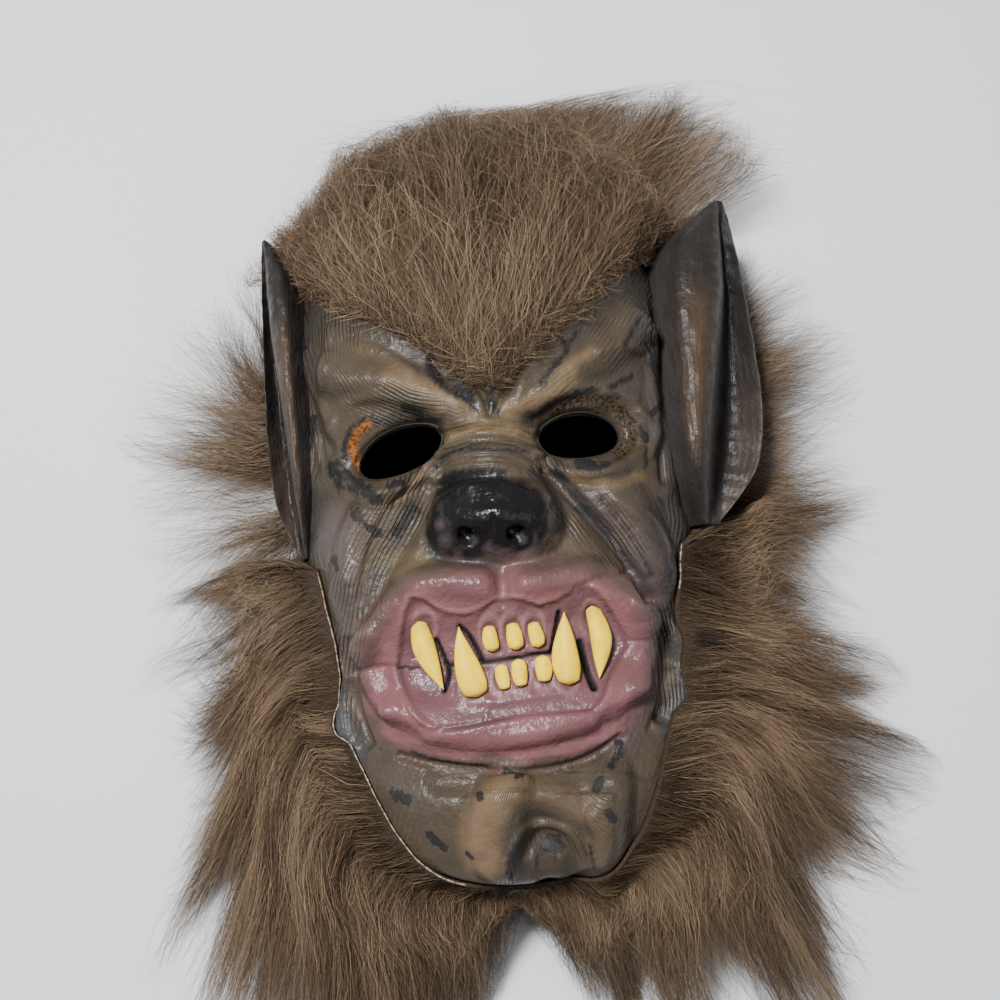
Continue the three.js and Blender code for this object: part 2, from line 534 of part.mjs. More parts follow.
// hairline over the brow and the crown locks, from the left to the right: root line at
// inner, the head's edge at outer, tips in shares of furDepth beyond it
const crownLocks = [
  { innerU: -0.73, innerT: 11.25, outerU: -0.82, outerT: 12.5, x: -2.0, y: 0.8, z: 1.6, size: 0.8 },
  { innerU: -0.6, innerT: 10.7, outerU: -0.68, outerT: 12.8, x: -1.6, y: 1.2, z: 0.8, size: 1.2 },
  { innerU: -0.45, innerT: 10.1, outerU: -0.56, outerT: 12.85, x: -1.1, y: 1.4, z: 0.5, size: 0.9 },
  { innerU: -0.31, innerT: 9.78, outerU: -0.4, outerT: 12.85, x: -0.7, y: 1.8, z: 0.7, size: 1.3 },
  { innerU: -0.18, innerT: 9.45, outerU: -0.22, outerT: 12.85, x: -0.3, y: 1.5, z: 0.5, size: 1 },
  { innerU: -0.05, innerT: 9.08, outerU: -0.05, outerT: 12.85, x: 0.1, y: 1.9, z: 0.7, size: 1.35 },
  { innerU: 0.05, innerT: 8.98, outerU: 0.1, outerT: 12.85, x: 0.4, y: 1.6, z: 0.5, size: 1.05 },
  { innerU: 0.17, innerT: 9.35, outerU: 0.26, outerT: 12.85, x: 0.9, y: 1.9, z: 0.7, size: 1.4 },
  { innerU: 0.31, innerT: 9.75, outerU: 0.42, outerT: 12.85, x: 1.4, y: 1.6, z: 0.5, size: 1 },
  { innerU: 0.45, innerT: 10.25, outerU: 0.56, outerT: 12.85, x: 2.0, y: 1.5, z: 0.8, size: 1.3 },
  { innerU: 0.58, innerT: 10.75, outerU: 0.68, outerT: 12.8, x: 2.6, y: 1.3, z: 1.2, size: 1 },
  { innerU: 0.7, innerT: 11.35, outerU: 0.79, outerT: 12.5, x: 3.2, y: 1.0, z: 2.4, size: 0.9 },
];
const crownLayout = { held: 8, free: 1, notch: 0.45, lift: 0.2, reach: furDepth, pile: furDepth,
  valley: 0.5, root: 0.3, taper: 0.8 };

// side locks of the right, from the crown to the lobe, tips in shares of furReach
const sideLocks = [
  { innerU: 0.84, innerT: 11.7, outerU: 0.97, outerT: 11.7, x: 0.3, y: 0.75, z: 0.12, size: 0.8 },
  { innerU: 0.83, innerT: 11.2, outerU: 0.97, outerT: 11.2, x: 0.62, y: 0.66, z: 0.05, size: 1.1 },
  { innerU: 0.82, innerT: 10.7, outerU: 0.97, outerT: 10.7, x: 0.78, y: 0.55, z: 0.18, size: 0.9 },
  { innerU: 0.82, innerT: 10.2, outerU: 0.97, outerT: 10.2, x: 0.9, y: 0.42, z: 0.05, size: 1.2 },
  { innerU: 0.82, innerT: 9.7, outerU: 0.97, outerT: 9.7, x: 0.95, y: 0.3, z: 0.2, size: 0.9 },
  { innerU: 0.82, innerT: 9.2, outerU: 0.97, outerT: 9.2, x: 1.02, y: 0.18, z: 0.05, size: 1.15 },
  { innerU: 0.82, innerT: 8.7, outerU: 0.97, outerT: 8.7, x: 1.0, y: 0.06, z: 0.2, size: 0.85 },
  { innerU: 0.82, innerT: 8.2, outerU: 0.97, outerT: 8.2, x: 1.06, y: -0.08, z: 0.05, size: 1.2 },
  { innerU: 0.82, innerT: 7.7, outerU: 0.97, outerT: 7.7, x: 0.98, y: -0.2, z: 0.16, size: 0.9 },
  { innerU: 0.84, innerT: 7.3, outerU: 0.97, outerT: 7.3, x: 0.9, y: -0.34, z: 0.05, size: 0.8 },
];
const sideLayout = { held: 2, free: 3, notch: 0.6, lift: 0.1, reach: furReach, pile: 0.7 * furDepth,
  valley: 0.45, root: 0.4, taper: 0.45 };

// beard locks from the left cheek round the chin to the right, tips in shares of beardReach
const beardLocks = [
  { innerU: -0.7, innerT: 6.9, outerU: -0.95, outerT: 6.8, x: -0.38, y: -0.39, z: 0.06, size: 0.8 },
  { innerU: -0.67, innerT: 6.3, outerU: -0.95, outerT: 6.2, x: -0.55, y: -0.54, z: 0.06, size: 1.1 },
  { innerU: -0.66, innerT: 5.6, outerU: -0.95, outerT: 5.5, x: -0.60, y: -0.60, z: 0.02, size: 0.9 },
  { innerU: -0.68, innerT: 5, outerU: -0.95, outerT: 4.9, x: -0.75, y: -0.95, z: 0.06, size: 1.2 },
  { innerU: -0.76, innerT: 4.2, outerU: -0.95, outerT: 4.2, x: -0.57, y: -1.02, z: 0.02, size: 0.95 },
  { innerU: -0.77, innerT: 3.5, outerU: -0.95, outerT: 3.5, x: -0.68, y: -1.49, z: 0.06, size: 1.15 },
  { innerU: -0.72, innerT: 2.8, outerU: -0.95, outerT: 2.7, x: -0.50, y: -1.48, z: 0.02, size: 0.9 },
  { innerU: -0.64, innerT: 2.1, outerU: -0.93, outerT: 1.6, x: -0.38, y: -1.56, z: 0.06, size: 1.2 },
  { innerU: -0.56, innerT: 1.6, outerU: -0.88, outerT: 0.7, x: -0.17, y: -1.11, z: 0.02, size: 0.9 },
  { innerU: -0.46, innerT: 1.2, outerU: -0.7, outerT: 0.2, x: -0.08, y: -1.30, z: 0.06, size: 1.1 },
  { innerU: -0.34, innerT: 0.9, outerU: -0.48, outerT: 0.1, x: 0.02, y: -0.78, z: 0.02, size: 0.85 },
  { innerU: -0.2, innerT: 0.65, outerU: -0.27, outerT: 0.1, x: 0.05, y: -0.99, z: 0.06, size: 1.05 },
  { innerU: -0.04, innerT: 0.55, outerU: -0.05, outerT: 0.1, x: 0.04, y: -0.59, z: 0.02, size: 0.8 },
  { innerU: 0.12, innerT: 0.55, outerU: 0.16, outerT: 0.1, x: 0.08, y: -0.86, z: 0.02, size: 1 },
  { innerU: 0.26, innerT: 0.65, outerU: 0.36, outerT: 0.1, x: 0.11, y: -0.65, z: 0.02, size: 0.85 },
  { innerU: 0.4, innerT: 0.85, outerU: 0.55, outerT: 0.1, x: 0.28, y: -1.07, z: 0.06, size: 1.1 },
  { innerU: 0.52, innerT: 1.3, outerU: 0.78, outerT: 0.3, x: 0.36, y: -0.95, z: 0.02, size: 0.9 },
  { innerU: 0.6, innerT: 1.8, outerU: 0.9, outerT: 1, x: 0.68, y: -1.27, z: 0.06, size: 1.2 },
  { innerU: 0.64, innerT: 2.4, outerU: 0.94, outerT: 1.9, x: 0.62, y: -0.89, z: 0.02, size: 0.9 },
  { innerU: 0.68, innerT: 3.1, outerU: 0.95, outerT: 3, x: 0.80, y: -0.70, z: 0.06, size: 1.1 },
  { innerU: 0.73, innerT: 3.9, outerU: 0.95, outerT: 3.8, x: 1.12, y: -0.44, z: 0.2, size: 1.4 },
  { innerU: 0.7, innerT: 4.7, outerU: 0.95, outerT: 4.6, x: 0.75, y: -0.27, z: 0.02, size: 0.9 },
  { innerU: 0.66, innerT: 5.4, outerU: 0.95, outerT: 5.3, x: 0.85, y: -0.20, z: 0.2, size: 1.3 },
  { innerU: 0.66, innerT: 6.1, outerU: 0.95, outerT: 6, x: 0.59, y: -0.14, z: 0.02, size: 0.9 },
  { innerU: 0.7, innerT: 6.8, outerU: 0.95, outerT: 6.7, x: 0.46, y: -0.10, z: 0.2, size: 1 },
];
const beardLayout = { held: 3, free: 2, notch: 0.68, lift: 0.16, reach: beardReach, pile: 0.8 * furDepth,
  valley: 0.5, root: 0.35, taper: 0.55 };

// keeps fur off the face and the ears and above the surface the mask lies on
const nudges = [[0, 0, 0], [1, 0, 0], [-1, 0, 0], [0, 1, 0], [0, -1, 0], [0, 0, -1], [0, 0, 1]];
const wideFace = bodyAt(seatGap, faceColumns, ts, 0);
const grown = nudges.reduce((sum, nudge) => ears.reduce((rest, ear) =>
  rest.add(ear.translate(nudge.map((step) => step * 1.5 * seatGap))), sum), wideFace);
const floorBox = new THREE.BoxGeometry(6 * faceWidth, 4 * faceHeight, faceDepth);
floorBox.translate(0, 0, -faceDepth / 2);
const below = cutter(floorBox);

// half the space beyond an upright plane through a point, facing an angle from +X
function beyond(x, y, degrees) {
  const box = new THREE.BoxGeometry(4 * faceHeight, 4 * faceHeight, 4 * faceHeight);
  box.translate(2 * faceHeight, 0, 0);
  box.rotateZ(degrees * Math.PI / 180);
  box.translate(x, y, 0);
  return cutter(box);
}

// what is left of a sheet after its cuts, without the crumbs
const largest = (solid) => solid.decompose().reduce((a, b) => (a.volume() > b.volume() ? a : b));

const seamGap = 0.5;
const crownSeamY = 0.36 * faceHeight;
const jawSeamY = -0.045 * faceHeight;
const temple = 0.47 * faceWidth;
const crownFur = largest(lockSheet(crownLocks, crownLayout).subtract(grown).subtract(below)
  .subtract(beyond(temple, crownSeamY, -52)).subtract(beyond(-temple, crownSeamY, -128)));

function sideFur(side) {
  const turned = (row) => ({ ...row, innerU: side * row.innerU, outerU: side * row.outerU, x: side * row.x });
  const rows = sideLocks.map(turned);
  return largest(lockSheet(rows, sideLayout).subtract(grown).subtract(below)
    .subtract(beyond(side * temple, crownSeamY - seamGap, side > 0 ? 128 : 52))
    .subtract(beyond(side * temple, jawSeamY + seamGap, side > 0 ? -98 : -82)));
}

const beardFur = largest(lockSheet(beardLocks, beardLayout).subtract(grown).subtract(below)
  .subtract(beyond(temple, jawSeamY, 82)).subtract(beyond(-temple, jawSeamY, 98)));

// elastic strap: lies on the surface and turns up along the inside of both temples
const strapY = 0.153 * faceHeight;
const strapTurn = 16;
const strapProfile = new THREE.Shape();
const strapEnd = 0.5 * faceWidth;
const strapBend = strapEnd - wall - 4 * strapThickness;
strapProfile.moveTo(-strapEnd, strapTurn);
strapProfile.lineTo(-strapEnd, 0);
strapProfile.lineTo(strapEnd, 0);
strapProfile.lineTo(strapEnd, strapTurn);
strapProfile.lineTo(strapBend, strapTurn);
strapProfile.lineTo(strapBend, strapThickness);
strapProfile.lineTo(-strapBend, strapThickness);
strapProfile.lineTo(-strapBend, strapTurn);
const strapGeometry = new THREE.ExtrudeGeometry(strapProfile, { depth: strapWidth, bevelEnabled: false });
strapGeometry.rotateX(Math.PI / 2);
strapGeometry.translate(0, strapY + strapWidth / 2, 0);
const strap = cutter(strapGeometry).intersect(bodyAt(-wall - seatGap, innerColumns, innerTs, innerDrop));

function meshOf(name, solid, look) {
  const data = solid.getMesh();
  const geometry = new THREE.BufferGeometry();
  geometry.setAttribute("position", new THREE.BufferAttribute(Float32Array.from(data.vertProperties), 3));
  geometry.setIndex(Array.from(data.triVerts));
  geometry.computeVertexNormals();
  const mesh = new THREE.Mesh(geometry, new THREE.MeshStandardMaterial(look));
  mesh.name = name;
  return mesh;
}

const group = new THREE.Group();
group.add(meshOf("latex_face", latex, { color: 0x6f5a47, roughness: 0.42, metalness: 0 }));
toothRows.forEach((row) => {
  group.add(meshOf(row.name, toothSolid(row), { color: 0xe3cb6c, roughness: 0.35, metalness: 0 }));
});
group.add(meshOf("crown_fur", crownFur, { color: 0x7d634a, roughness: 0.9, metalness: 0 }));
group.add(meshOf("side_fur_left", sideFur(-1), { color: 0x775d45, roughness: 0.9, metalness: 0 }));
group.add(meshOf("side_fur_right", sideFur(1), { color: 0x775d45, roughness: 0.9, metalness: 0 }));
group.add(meshOf("beard_fur", beardFur, { color: 0x6e5640, roughness: 0.9, metalness: 0 }));
group.add(meshOf("head_strap", strap, { color: 0x141414, roughness: 0.8, metalness: 0 }));
group.children.forEach((mesh) => mesh.position.set(0, -strapY, 0));

export default group;
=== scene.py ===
# A latex werewolf mask with long fur, lying face up. Metres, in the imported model's frame.
# Shapes are worked out in millimetres from the middle of the face and moved there at the end.
import math
import bpy
import numpy as np
from mathutils import Matrix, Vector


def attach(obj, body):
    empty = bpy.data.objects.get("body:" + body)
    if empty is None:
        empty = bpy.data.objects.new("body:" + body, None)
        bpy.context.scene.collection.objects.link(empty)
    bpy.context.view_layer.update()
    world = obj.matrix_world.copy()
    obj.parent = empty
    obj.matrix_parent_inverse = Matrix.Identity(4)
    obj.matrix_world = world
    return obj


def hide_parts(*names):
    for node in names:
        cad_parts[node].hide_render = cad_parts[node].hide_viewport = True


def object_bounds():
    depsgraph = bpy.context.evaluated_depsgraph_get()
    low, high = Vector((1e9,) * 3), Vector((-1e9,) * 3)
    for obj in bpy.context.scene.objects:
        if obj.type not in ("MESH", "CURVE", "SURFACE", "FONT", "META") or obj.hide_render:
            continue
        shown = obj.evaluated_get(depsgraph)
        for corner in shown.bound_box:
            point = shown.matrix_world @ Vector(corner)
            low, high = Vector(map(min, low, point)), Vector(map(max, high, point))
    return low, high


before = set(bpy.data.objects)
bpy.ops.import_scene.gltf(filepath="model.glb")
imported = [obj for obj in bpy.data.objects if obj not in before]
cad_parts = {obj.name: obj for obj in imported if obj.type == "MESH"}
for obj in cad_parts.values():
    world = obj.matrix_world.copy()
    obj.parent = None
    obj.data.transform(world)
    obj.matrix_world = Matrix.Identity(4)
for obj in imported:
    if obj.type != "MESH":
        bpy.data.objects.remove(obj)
cadBox = [list(map(float, corner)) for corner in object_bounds()]
print("frame loaded")

face = {
    "height": 354, "width": 200, "depth": 112, "wall": 2,  # mm
    "eyeSpacing": 81, "eyeHeight": 34, "eyeLength": 40, "eyeOpening": 20.5,
    "acrossFine": 184, "acrossSide": 26, "alongFine": 270, "alongCoarse": 24,  # mesh columns and rows
}
strapY = 0.153 * face["height"]  # the strap's middle is the frame's origin

# backY, backZ, crestY, crestZ, half width and squareness of each section, chin to crown
sections = np.array([
    [-0.282, 0.487, -0.446, 0.482, 0.38, 2.0], [-0.266, 0.482, -0.446, 0.768, 0.39, 2.1],
    [-0.249, 0.446, -0.37, 0.893, 0.4, 2.2], [-0.232, 0.366, -0.299, 0.902, 0.42, 2.2],
    [-0.209, 0.259, -0.246, 0.938, 0.44, 2.2], [-0.172, 0.134, -0.181, 0.982, 0.455, 2.3],
    [-0.107, 0.036, -0.107, 0.982, 0.47, 2.5], [-0.028, 0, -0.028, 0.929, 0.485, 2.6],
    [0.062, 0, 0.062, 0.884, 0.495, 2.8], [0.136, 0, 0.158, 0.929, 0.5, 2.7],
    [0.175, 0, 0.282, 0.955, 0.5, 2.5], [0.209, 0, 0.415, 0.821, 0.49, 2.3],
    [0.226, 0, 0.517, 0.5, 0.48, 2.2], [0.232, 0, 0.554, 0, 0.47, 2.2]])
lastT = len(sections) - 1

# forms of the face: x0, y0, x1, y1, x2, y2, reach, lift, edge, as in the part's source
strokes = {
    "bridge": (0, 0.096, 0, 0.045, 0, -0.006, 0.135, 0.08, 2),
    "nosePad": (-0.06, -0.008, 0, -0.014, 0.06, -0.014, 0.1, 0.134, 4),
    "noseTop": (-0.05, 0.025, 0, 0.031, 0.05, 0.025, 0.035, 0.018, 2),
    "nostrilLeft": (-0.055, -0.04, -0.05, -0.042, -0.045, -0.042, 0.03, -0.045, 2),
    "nostrilRight": (0.045, -0.045, 0.05, -0.048, 0.055, -0.048, 0.03, -0.045, 2),
    "socketLeft": (-0.27, 0.082, -0.215, 0.093, -0.155, 0.107, 0.09, -0.08, 2),
    "socketRight": (0.15, 0.099, 0.215, 0.096, 0.28, 0.099, 0.09, -0.08, 2),
    "browLeft": (-0.07, 0.144, -0.19, 0.175, -0.34, 0.209, 0.07, 0.071, 2),
    "browRight": (0.08, 0.144, 0.21, 0.181, 0.36, 0.237, 0.07, 0.071, 2),
    "glabella": (0.005, 0.13, 0.005, 0.153, 0.005, 0.181, 0.05, 0.027, 2),
    "frownLeft": (-0.045, 0.203, -0.04, 0.181, -0.015, 0.153, 0.025, -0.027, 2),
    "frownRight": (0.075, 0.209, 0.07, 0.181, 0.055, 0.15, 0.025, -0.027, 2),
    "cheekLeft": (-0.24, 0.023, -0.31, -0.006, -0.34, -0.073, 0.1, 0.062, 2),
    "cheekRight": (0.24, 0.023, 0.31, -0.006, 0.345, -0.079, 0.1, 0.062, 2),
    "foldLeft": (-0.125, 0.062, -0.2, 0.006, -0.3, -0.102, 0.055, -0.045, 2),
    "foldRight": (0.135, 0.056, 0.21, 0, 0.33, -0.113, 0.055, -0.045, 2),
    "bagLeft": (-0.33, 0.062, -0.23, 0.037, -0.135, 0.062, 0.035, 0.027, 2),
    "bagRight": (0.14, 0.056, 0.23, 0.037, 0.33, 0.062, 0.035, 0.027, 2),
    "lipUpperLeft": (-0.3, -0.147, -0.23, -0.073, -0.05, -0.088, 0.065, 0.062, 2),
    "lipUpperRight": (0.05, -0.093, 0.23, -0.073, 0.3, -0.141, 0.065, 0.054, 2),
    "gums": (-0.16, -0.175, 0.015, -0.178, 0.19, -0.169, 0.1, -0.054, 4),
    "lipLower": (-0.24, -0.226, 0.02, -0.299, 0.26, -0.22, 0.055, 0.062, 2),
    "cornerLeft": (-0.29, -0.136, -0.33, -0.175, -0.26, -0.226, 0.045, 0.036, 2),
    "cornerRight": (0.29, -0.13, 0.33, -0.169, 0.27, -0.226, 0.045, 0.036, 2),
    "underLip": (-0.17, -0.316, 0.02, -0.331, 0.19, -0.311, 0.045, -0.036, 2),
    "chinLeft": (-0.035, -0.339, -0.05, -0.385, -0.06, -0.418, 0.072, 0.082, 2),
    "chinRight": (0.195, -0.333, 0.185, -0.395, 0.14, -0.444, 0.07, 0.071, 2),
    "chinNotch": (0.04, -0.379, 0.04, -0.412, 0.04, -0.452, 0.055, -0.045, 2),
    "jawLeft": (-0.4, -0.175, -0.42, -0.22, -0.39, -0.245, 0.07, 0.062, 2),
    "jawRight": (0.39, -0.169, 0.41, -0.22, 0.38, -0.245, 0.07, 0.062, 2),
    "creaseJawLeft": (-0.35, -0.147, -0.365, -0.215, -0.34, -0.26, 0.04, -0.045, 2),
    "creaseJawRight": (0.345, -0.147, 0.36, -0.215, 0.335, -0.26, 0.04, -0.045, 2),
    "templeLeft": (-0.46, 0.271, -0.41, 0.186, -0.38, 0.113, 0.05, -0.036, 2),
    "templeRight": (0.42, 0.271, 0.415, 0.169, 0.4, 0.045, 0.04, -0.036, 2),
}


def smooth(x):  # 0 below 0, 1 above 1, an s-curve between
    k = np.clip(x, 0, 1)
    return k * k * (3 - 2 * k)


def unit(v):  # vectors of length one
    return v / np.maximum(np.linalg.norm(v, axis=-1, keepdims=True), 1e-9)


def curveThrough(values, t):  # a Catmull-Rom curve through the rows of a table, at row numbers t
    last = len(values) - 1
    t = np.asarray(t, float)
    i = np.clip(np.floor(t).astype(int), 0, last - 1)
    f = (t - i)[..., None] if values.ndim > 1 else t - i
    a, b, c, d = (values[np.clip(i + k, 0, last)] for k in (-1, 0, 1, 2))
    f2, f3 = f * f, f * f * f
    return (2 * f3 - 3 * f2 + 1) * b + (f3 - 2 * f2 + f) * (c - a) / 2 \
        + (3 * f2 - 2 * f3) * c + (f3 - f2) * (d - b) / 2


def angleAt(u):  # 46 of the 90 degrees up to |u| 0.6, 20 more up to 0.9, the rest to the rim
    return np.sign(u) * np.radians(np.interp(np.abs(u), [0, 0.6, 0.9, 1, 2], [0, 46, 66, 90, 90]))


def headPoint(u, t):  # superellipse sections: sideways by the sine, and back to crest by the cosine
    u, t = np.broadcast_arrays(np.asarray(u, float), np.asarray(t, float))
    backY, backZ, crestY, crestZ, half, square = np.moveaxis(curveThrough(sections, t), -1, 0)
    s, c = np.abs(np.sin(angleAt(u))), np.abs(np.cos(angleAt(u)))
    rho = (s ** square + c ** square) ** (-1 / square)
    backZ = np.maximum(backZ, 0)
    return np.stack([np.sign(u) * rho * s * half * face["width"],
                     (backY + (crestY - backY) * rho * c) * face["height"],
                     (backZ + (crestZ - backZ) * rho * c) * face["depth"]], -1)


def headNormal(u, t):  # cross product of the two slopes, held off the rims
    u, t = np.clip(u, -0.98, 0.98), np.clip(t, 0.4, lastT - 0.3)
    return unit(np.cross(headPoint(u + 0.01, t) - headPoint(u - 0.01, t),
                         headPoint(u, t + 0.01) - headPoint(u, t - 0.01)))


def placeOn(x, y):  # the u and t of a point seen from the front, by repeated correction
    u, t = 0.6 * x / (0.38 * face["width"]), np.full(np.shape(x), 6.0)
    for _ in range(24):
        p, pu, pt = headPoint(u, t), headPoint(u + 0.01, t), headPoint(u, t + 0.02)
        du = np.maximum((pu - p)[..., 0] / 0.01, 0.1 * face["width"])
        dt = np.maximum((pt - p)[..., 1] / 0.02, 0.02 * face["height"])
        u = np.clip(u + 0.8 * (x - p[..., 0]) / du, -0.97, 0.97)
        t = np.clip(t + 0.8 * (y - p[..., 1]) / dt, 0.3, lastT - 0.3)
    return u, t


def distanceTo(line, p):  # least distance of the points p to a line of straight pieces
    best = np.full(p.shape[:-1], 1e9)
    for a, b in zip(line[:-1], line[1:]):
        d = b - a
        f = np.clip((p - a) @ d / max(d @ d, 1e-9), 0, 1)
        best = np.minimum(best, np.linalg.norm(p - a - f[..., None] * d, axis=-1))
    return best


strokeTable = np.array(list(strokes.values()), float)
strokeEnds = headPoint(*placeOn(strokeTable[:, 0:6:2] * face["width"],
                                strokeTable[:, 1:6:2] * face["height"]))


def reliefAt(p, u):  # sum of lift times (1 - (distance / reach)^edge)^2, dying away at the rims
    f = np.linspace(0, 1, 9)[:, None]
    total = np.zeros(p.shape[:-1])
    for row, ends in zip(strokeTable, strokeEnds):
        line = ends[0] * (1 - f) ** 2 + 2 * ends[1] * f * (1 - f) + ends[2] * f ** 2
        k = np.minimum(distanceTo(line, p) / (row[6] * face["width"]), 1)
        total += row[7] * face["depth"] * (1 - k ** row[8]) ** 2
    return total * smooth((1 - np.abs(u)) / 0.14)


def toRow(p):  # design millimetres to the frame's metres
    return (np.asarray(p) - np.array([0, strapY, 0])) / 1000


# camera: straight above, leaning towards the chin, a little rolled
lens = {"focal": 50, "sensor": 36, "elevation": 80, "roll": 5, "place": (0.00255, -0.15396, 0.70283)}
tiltAngle, rollAngle = math.radians(lens["elevation"]), math.radians(lens["roll"])
backWay = np.array([0, -math.cos(tiltAngle), math.sin(tiltAngle)])
flatRight, flatUp = np.array([1.0, 0, 0]), np.array([0, math.sin(tiltAngle), math.cos(tiltAngle)])
cameraRight = math.cos(rollAngle) * flatRight - math.sin(rollAngle) * flatUp
cameraUp = math.sin(rollAngle) * flatRight + math.cos(rollAngle) * flatUp


def seenAt(p):  # where design points fall in a picture of 1000 by 1000, from its top left
    v = toRow(p) - np.array(lens["place"])
    k = lens["focal"] / lens["sensor"] * 1000 / -(v @ backWay)
    return np.stack([500 + k * (v @ cameraRight), 500 - k * (v @ cameraUp)], -1)


def srgb(*levels):  # paint colours are given as 0 to 255
    c = np.array(levels, float) / 255
    return np.where(c <= 0.04045, c / 12.92, ((c + 0.055) / 1.055) ** 2.4)


def lay(tone, colour, mask):  # paint over the tones: each moves to the colour by its mask
    tone += (srgb(*colour) - tone) * np.clip(mask, 0, 1)[:, None]


def insideOf(outline, p):  # distance of 2-D points to a closed outline, positive inside
    line = np.array(outline + outline[:1], float)
    crossings = np.zeros(p.shape[:-1], int)
    for a, b in zip(line[:-1], line[1:]):
        if a[1] == b[1]:
            continue
        between = (a[1] <= p[..., 1]) != (b[1] <= p[..., 1])
        crossings += between & (p[..., 0] < a[0] + (p[..., 1] - a[1]) * (b[0] - a[0]) / (b[1] - a[1]))
    return np.where(crossings % 2 == 1, 1, -1) * distanceTo(line, p)


def softLine(path, steps=6):  # a smooth line through a few points
    points = np.array(path, float)
    return curveThrough(points, np.linspace(0, len(points) - 1, steps * (len(points) - 1) + 1))


def makeMesh(name, points, faces, sharp=False):  # one mesh object from arrays, in design millimetres
    mesh = bpy.data.meshes.new(name)
    faces = [np.asarray(f, np.int32) for f in (faces if isinstance(faces, list) else [faces])]
    loops = np.concatenate([f.ravel() for f in faces])
    sizes = np.concatenate([np.full(len(f), f.shape[1], np.int32) for f in faces])
    mesh.vertices.add(len(points))
    mesh.vertices.foreach_set("co", toRow(points).astype(np.float32).ravel())
    mesh.loops.add(len(loops))
    mesh.loops.foreach_set("vertex_index", loops)
    mesh.polygons.add(len(sizes))
    mesh.polygons.foreach_set("loop_start", np.concatenate([[0], np.cumsum(sizes)[:-1]]).astype(np.int32))
    mesh.polygons.foreach_set("use_smooth", np.full(len(sizes), not sharp))
    mesh.update(calc_edges=True)
    piece = bpy.data.objects.new(name, mesh)
    bpy.context.scene.collection.objects.link(piece)
    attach(piece, "root")
    return piece


def giveColour(piece, name, values):  # a colour for each vertex, linear
    layer = piece.data.color_attributes.new(name, "FLOAT_COLOR", "POINT")
    full = np.ones((len(values), 4), np.float32)
    full[:, :3] = values
    layer.data.foreach_set("color", full.ravel())


def giveValue(piece, name, values):  # a number for each vertex
    layer = piece.data.attributes.new(name, "FLOAT", "POINT")
    layer.data.foreach_set("value", np.asarray(values, np.float32).ravel())


def gridFaces(rows, columns, start=0, around=False):  # quads of a grid, row by row
    j = np.arange(rows - 1)[:, None]
    i = np.arange(columns if around else columns - 1)[None, :]
    a = j * columns + i
    b = j * columns + (i + 1) % columns
    return start + np.stack([a, b, b + columns, a + columns], -1).reshape(-1, 4)


def slabFaces(rows, columns):  # a top grid, its lower twin and the wall round both
    n = rows * columns
    top = gridFaces(rows, columns)
    low = n + top[:, ::-1]
    edge = np.concatenate([np.arange(columns), np.arange(1, rows) * columns + columns - 1,
                           (rows - 1) * columns + np.arange(columns - 2, -1, -1),
                           np.arange(rows - 2, 0, -1) * columns])
    after = np.roll(edge, -1)
    return [top, low, np.stack([after, edge, edge + n, after + n], -1)]


# the moulded face: outlines and lines are given where seenAt puts them in the front view
pinkEdge = [(497, 566), (455, 571), (420, 578), (392, 594), (373, 622), (361, 655), (357, 675), (361, 702),
            (376, 731), (402, 750), (440, 759), (480, 761), (527, 761), (570, 757), (605, 745), (632, 725),
            (646, 700), (652, 660), (652, 635), (645, 605), (632, 586), (610, 573), (575, 567), (545, 564)]
gumEdge = [(397, 667), (400, 640), (404, 612), (411, 598), (424, 598), (436, 608), (450, 613), (466, 613),
           (480, 609), (493, 600), (505, 597), (522, 599), (539, 605), (556, 600), (574, 589), (588, 585),
           (600, 594), (612, 610), (625, 632), (628, 646), (612, 672), (604, 697), (594, 711), (556, 713),
           (524, 715), (491, 722), (466, 729), (443, 731), (426, 725), (414, 711), (405, 694), (399, 678)]
noseEdge = [(439, 482), (451, 474), (479, 474), (502, 475), (523, 480), (538, 491), (547, 512), (548, 532),
            (537, 544), (520, 550), (507, 549), (495, 546), (487, 556), (469, 559), (451, 556), (435, 548),
            (426, 535), (430, 519), (435, 498)]

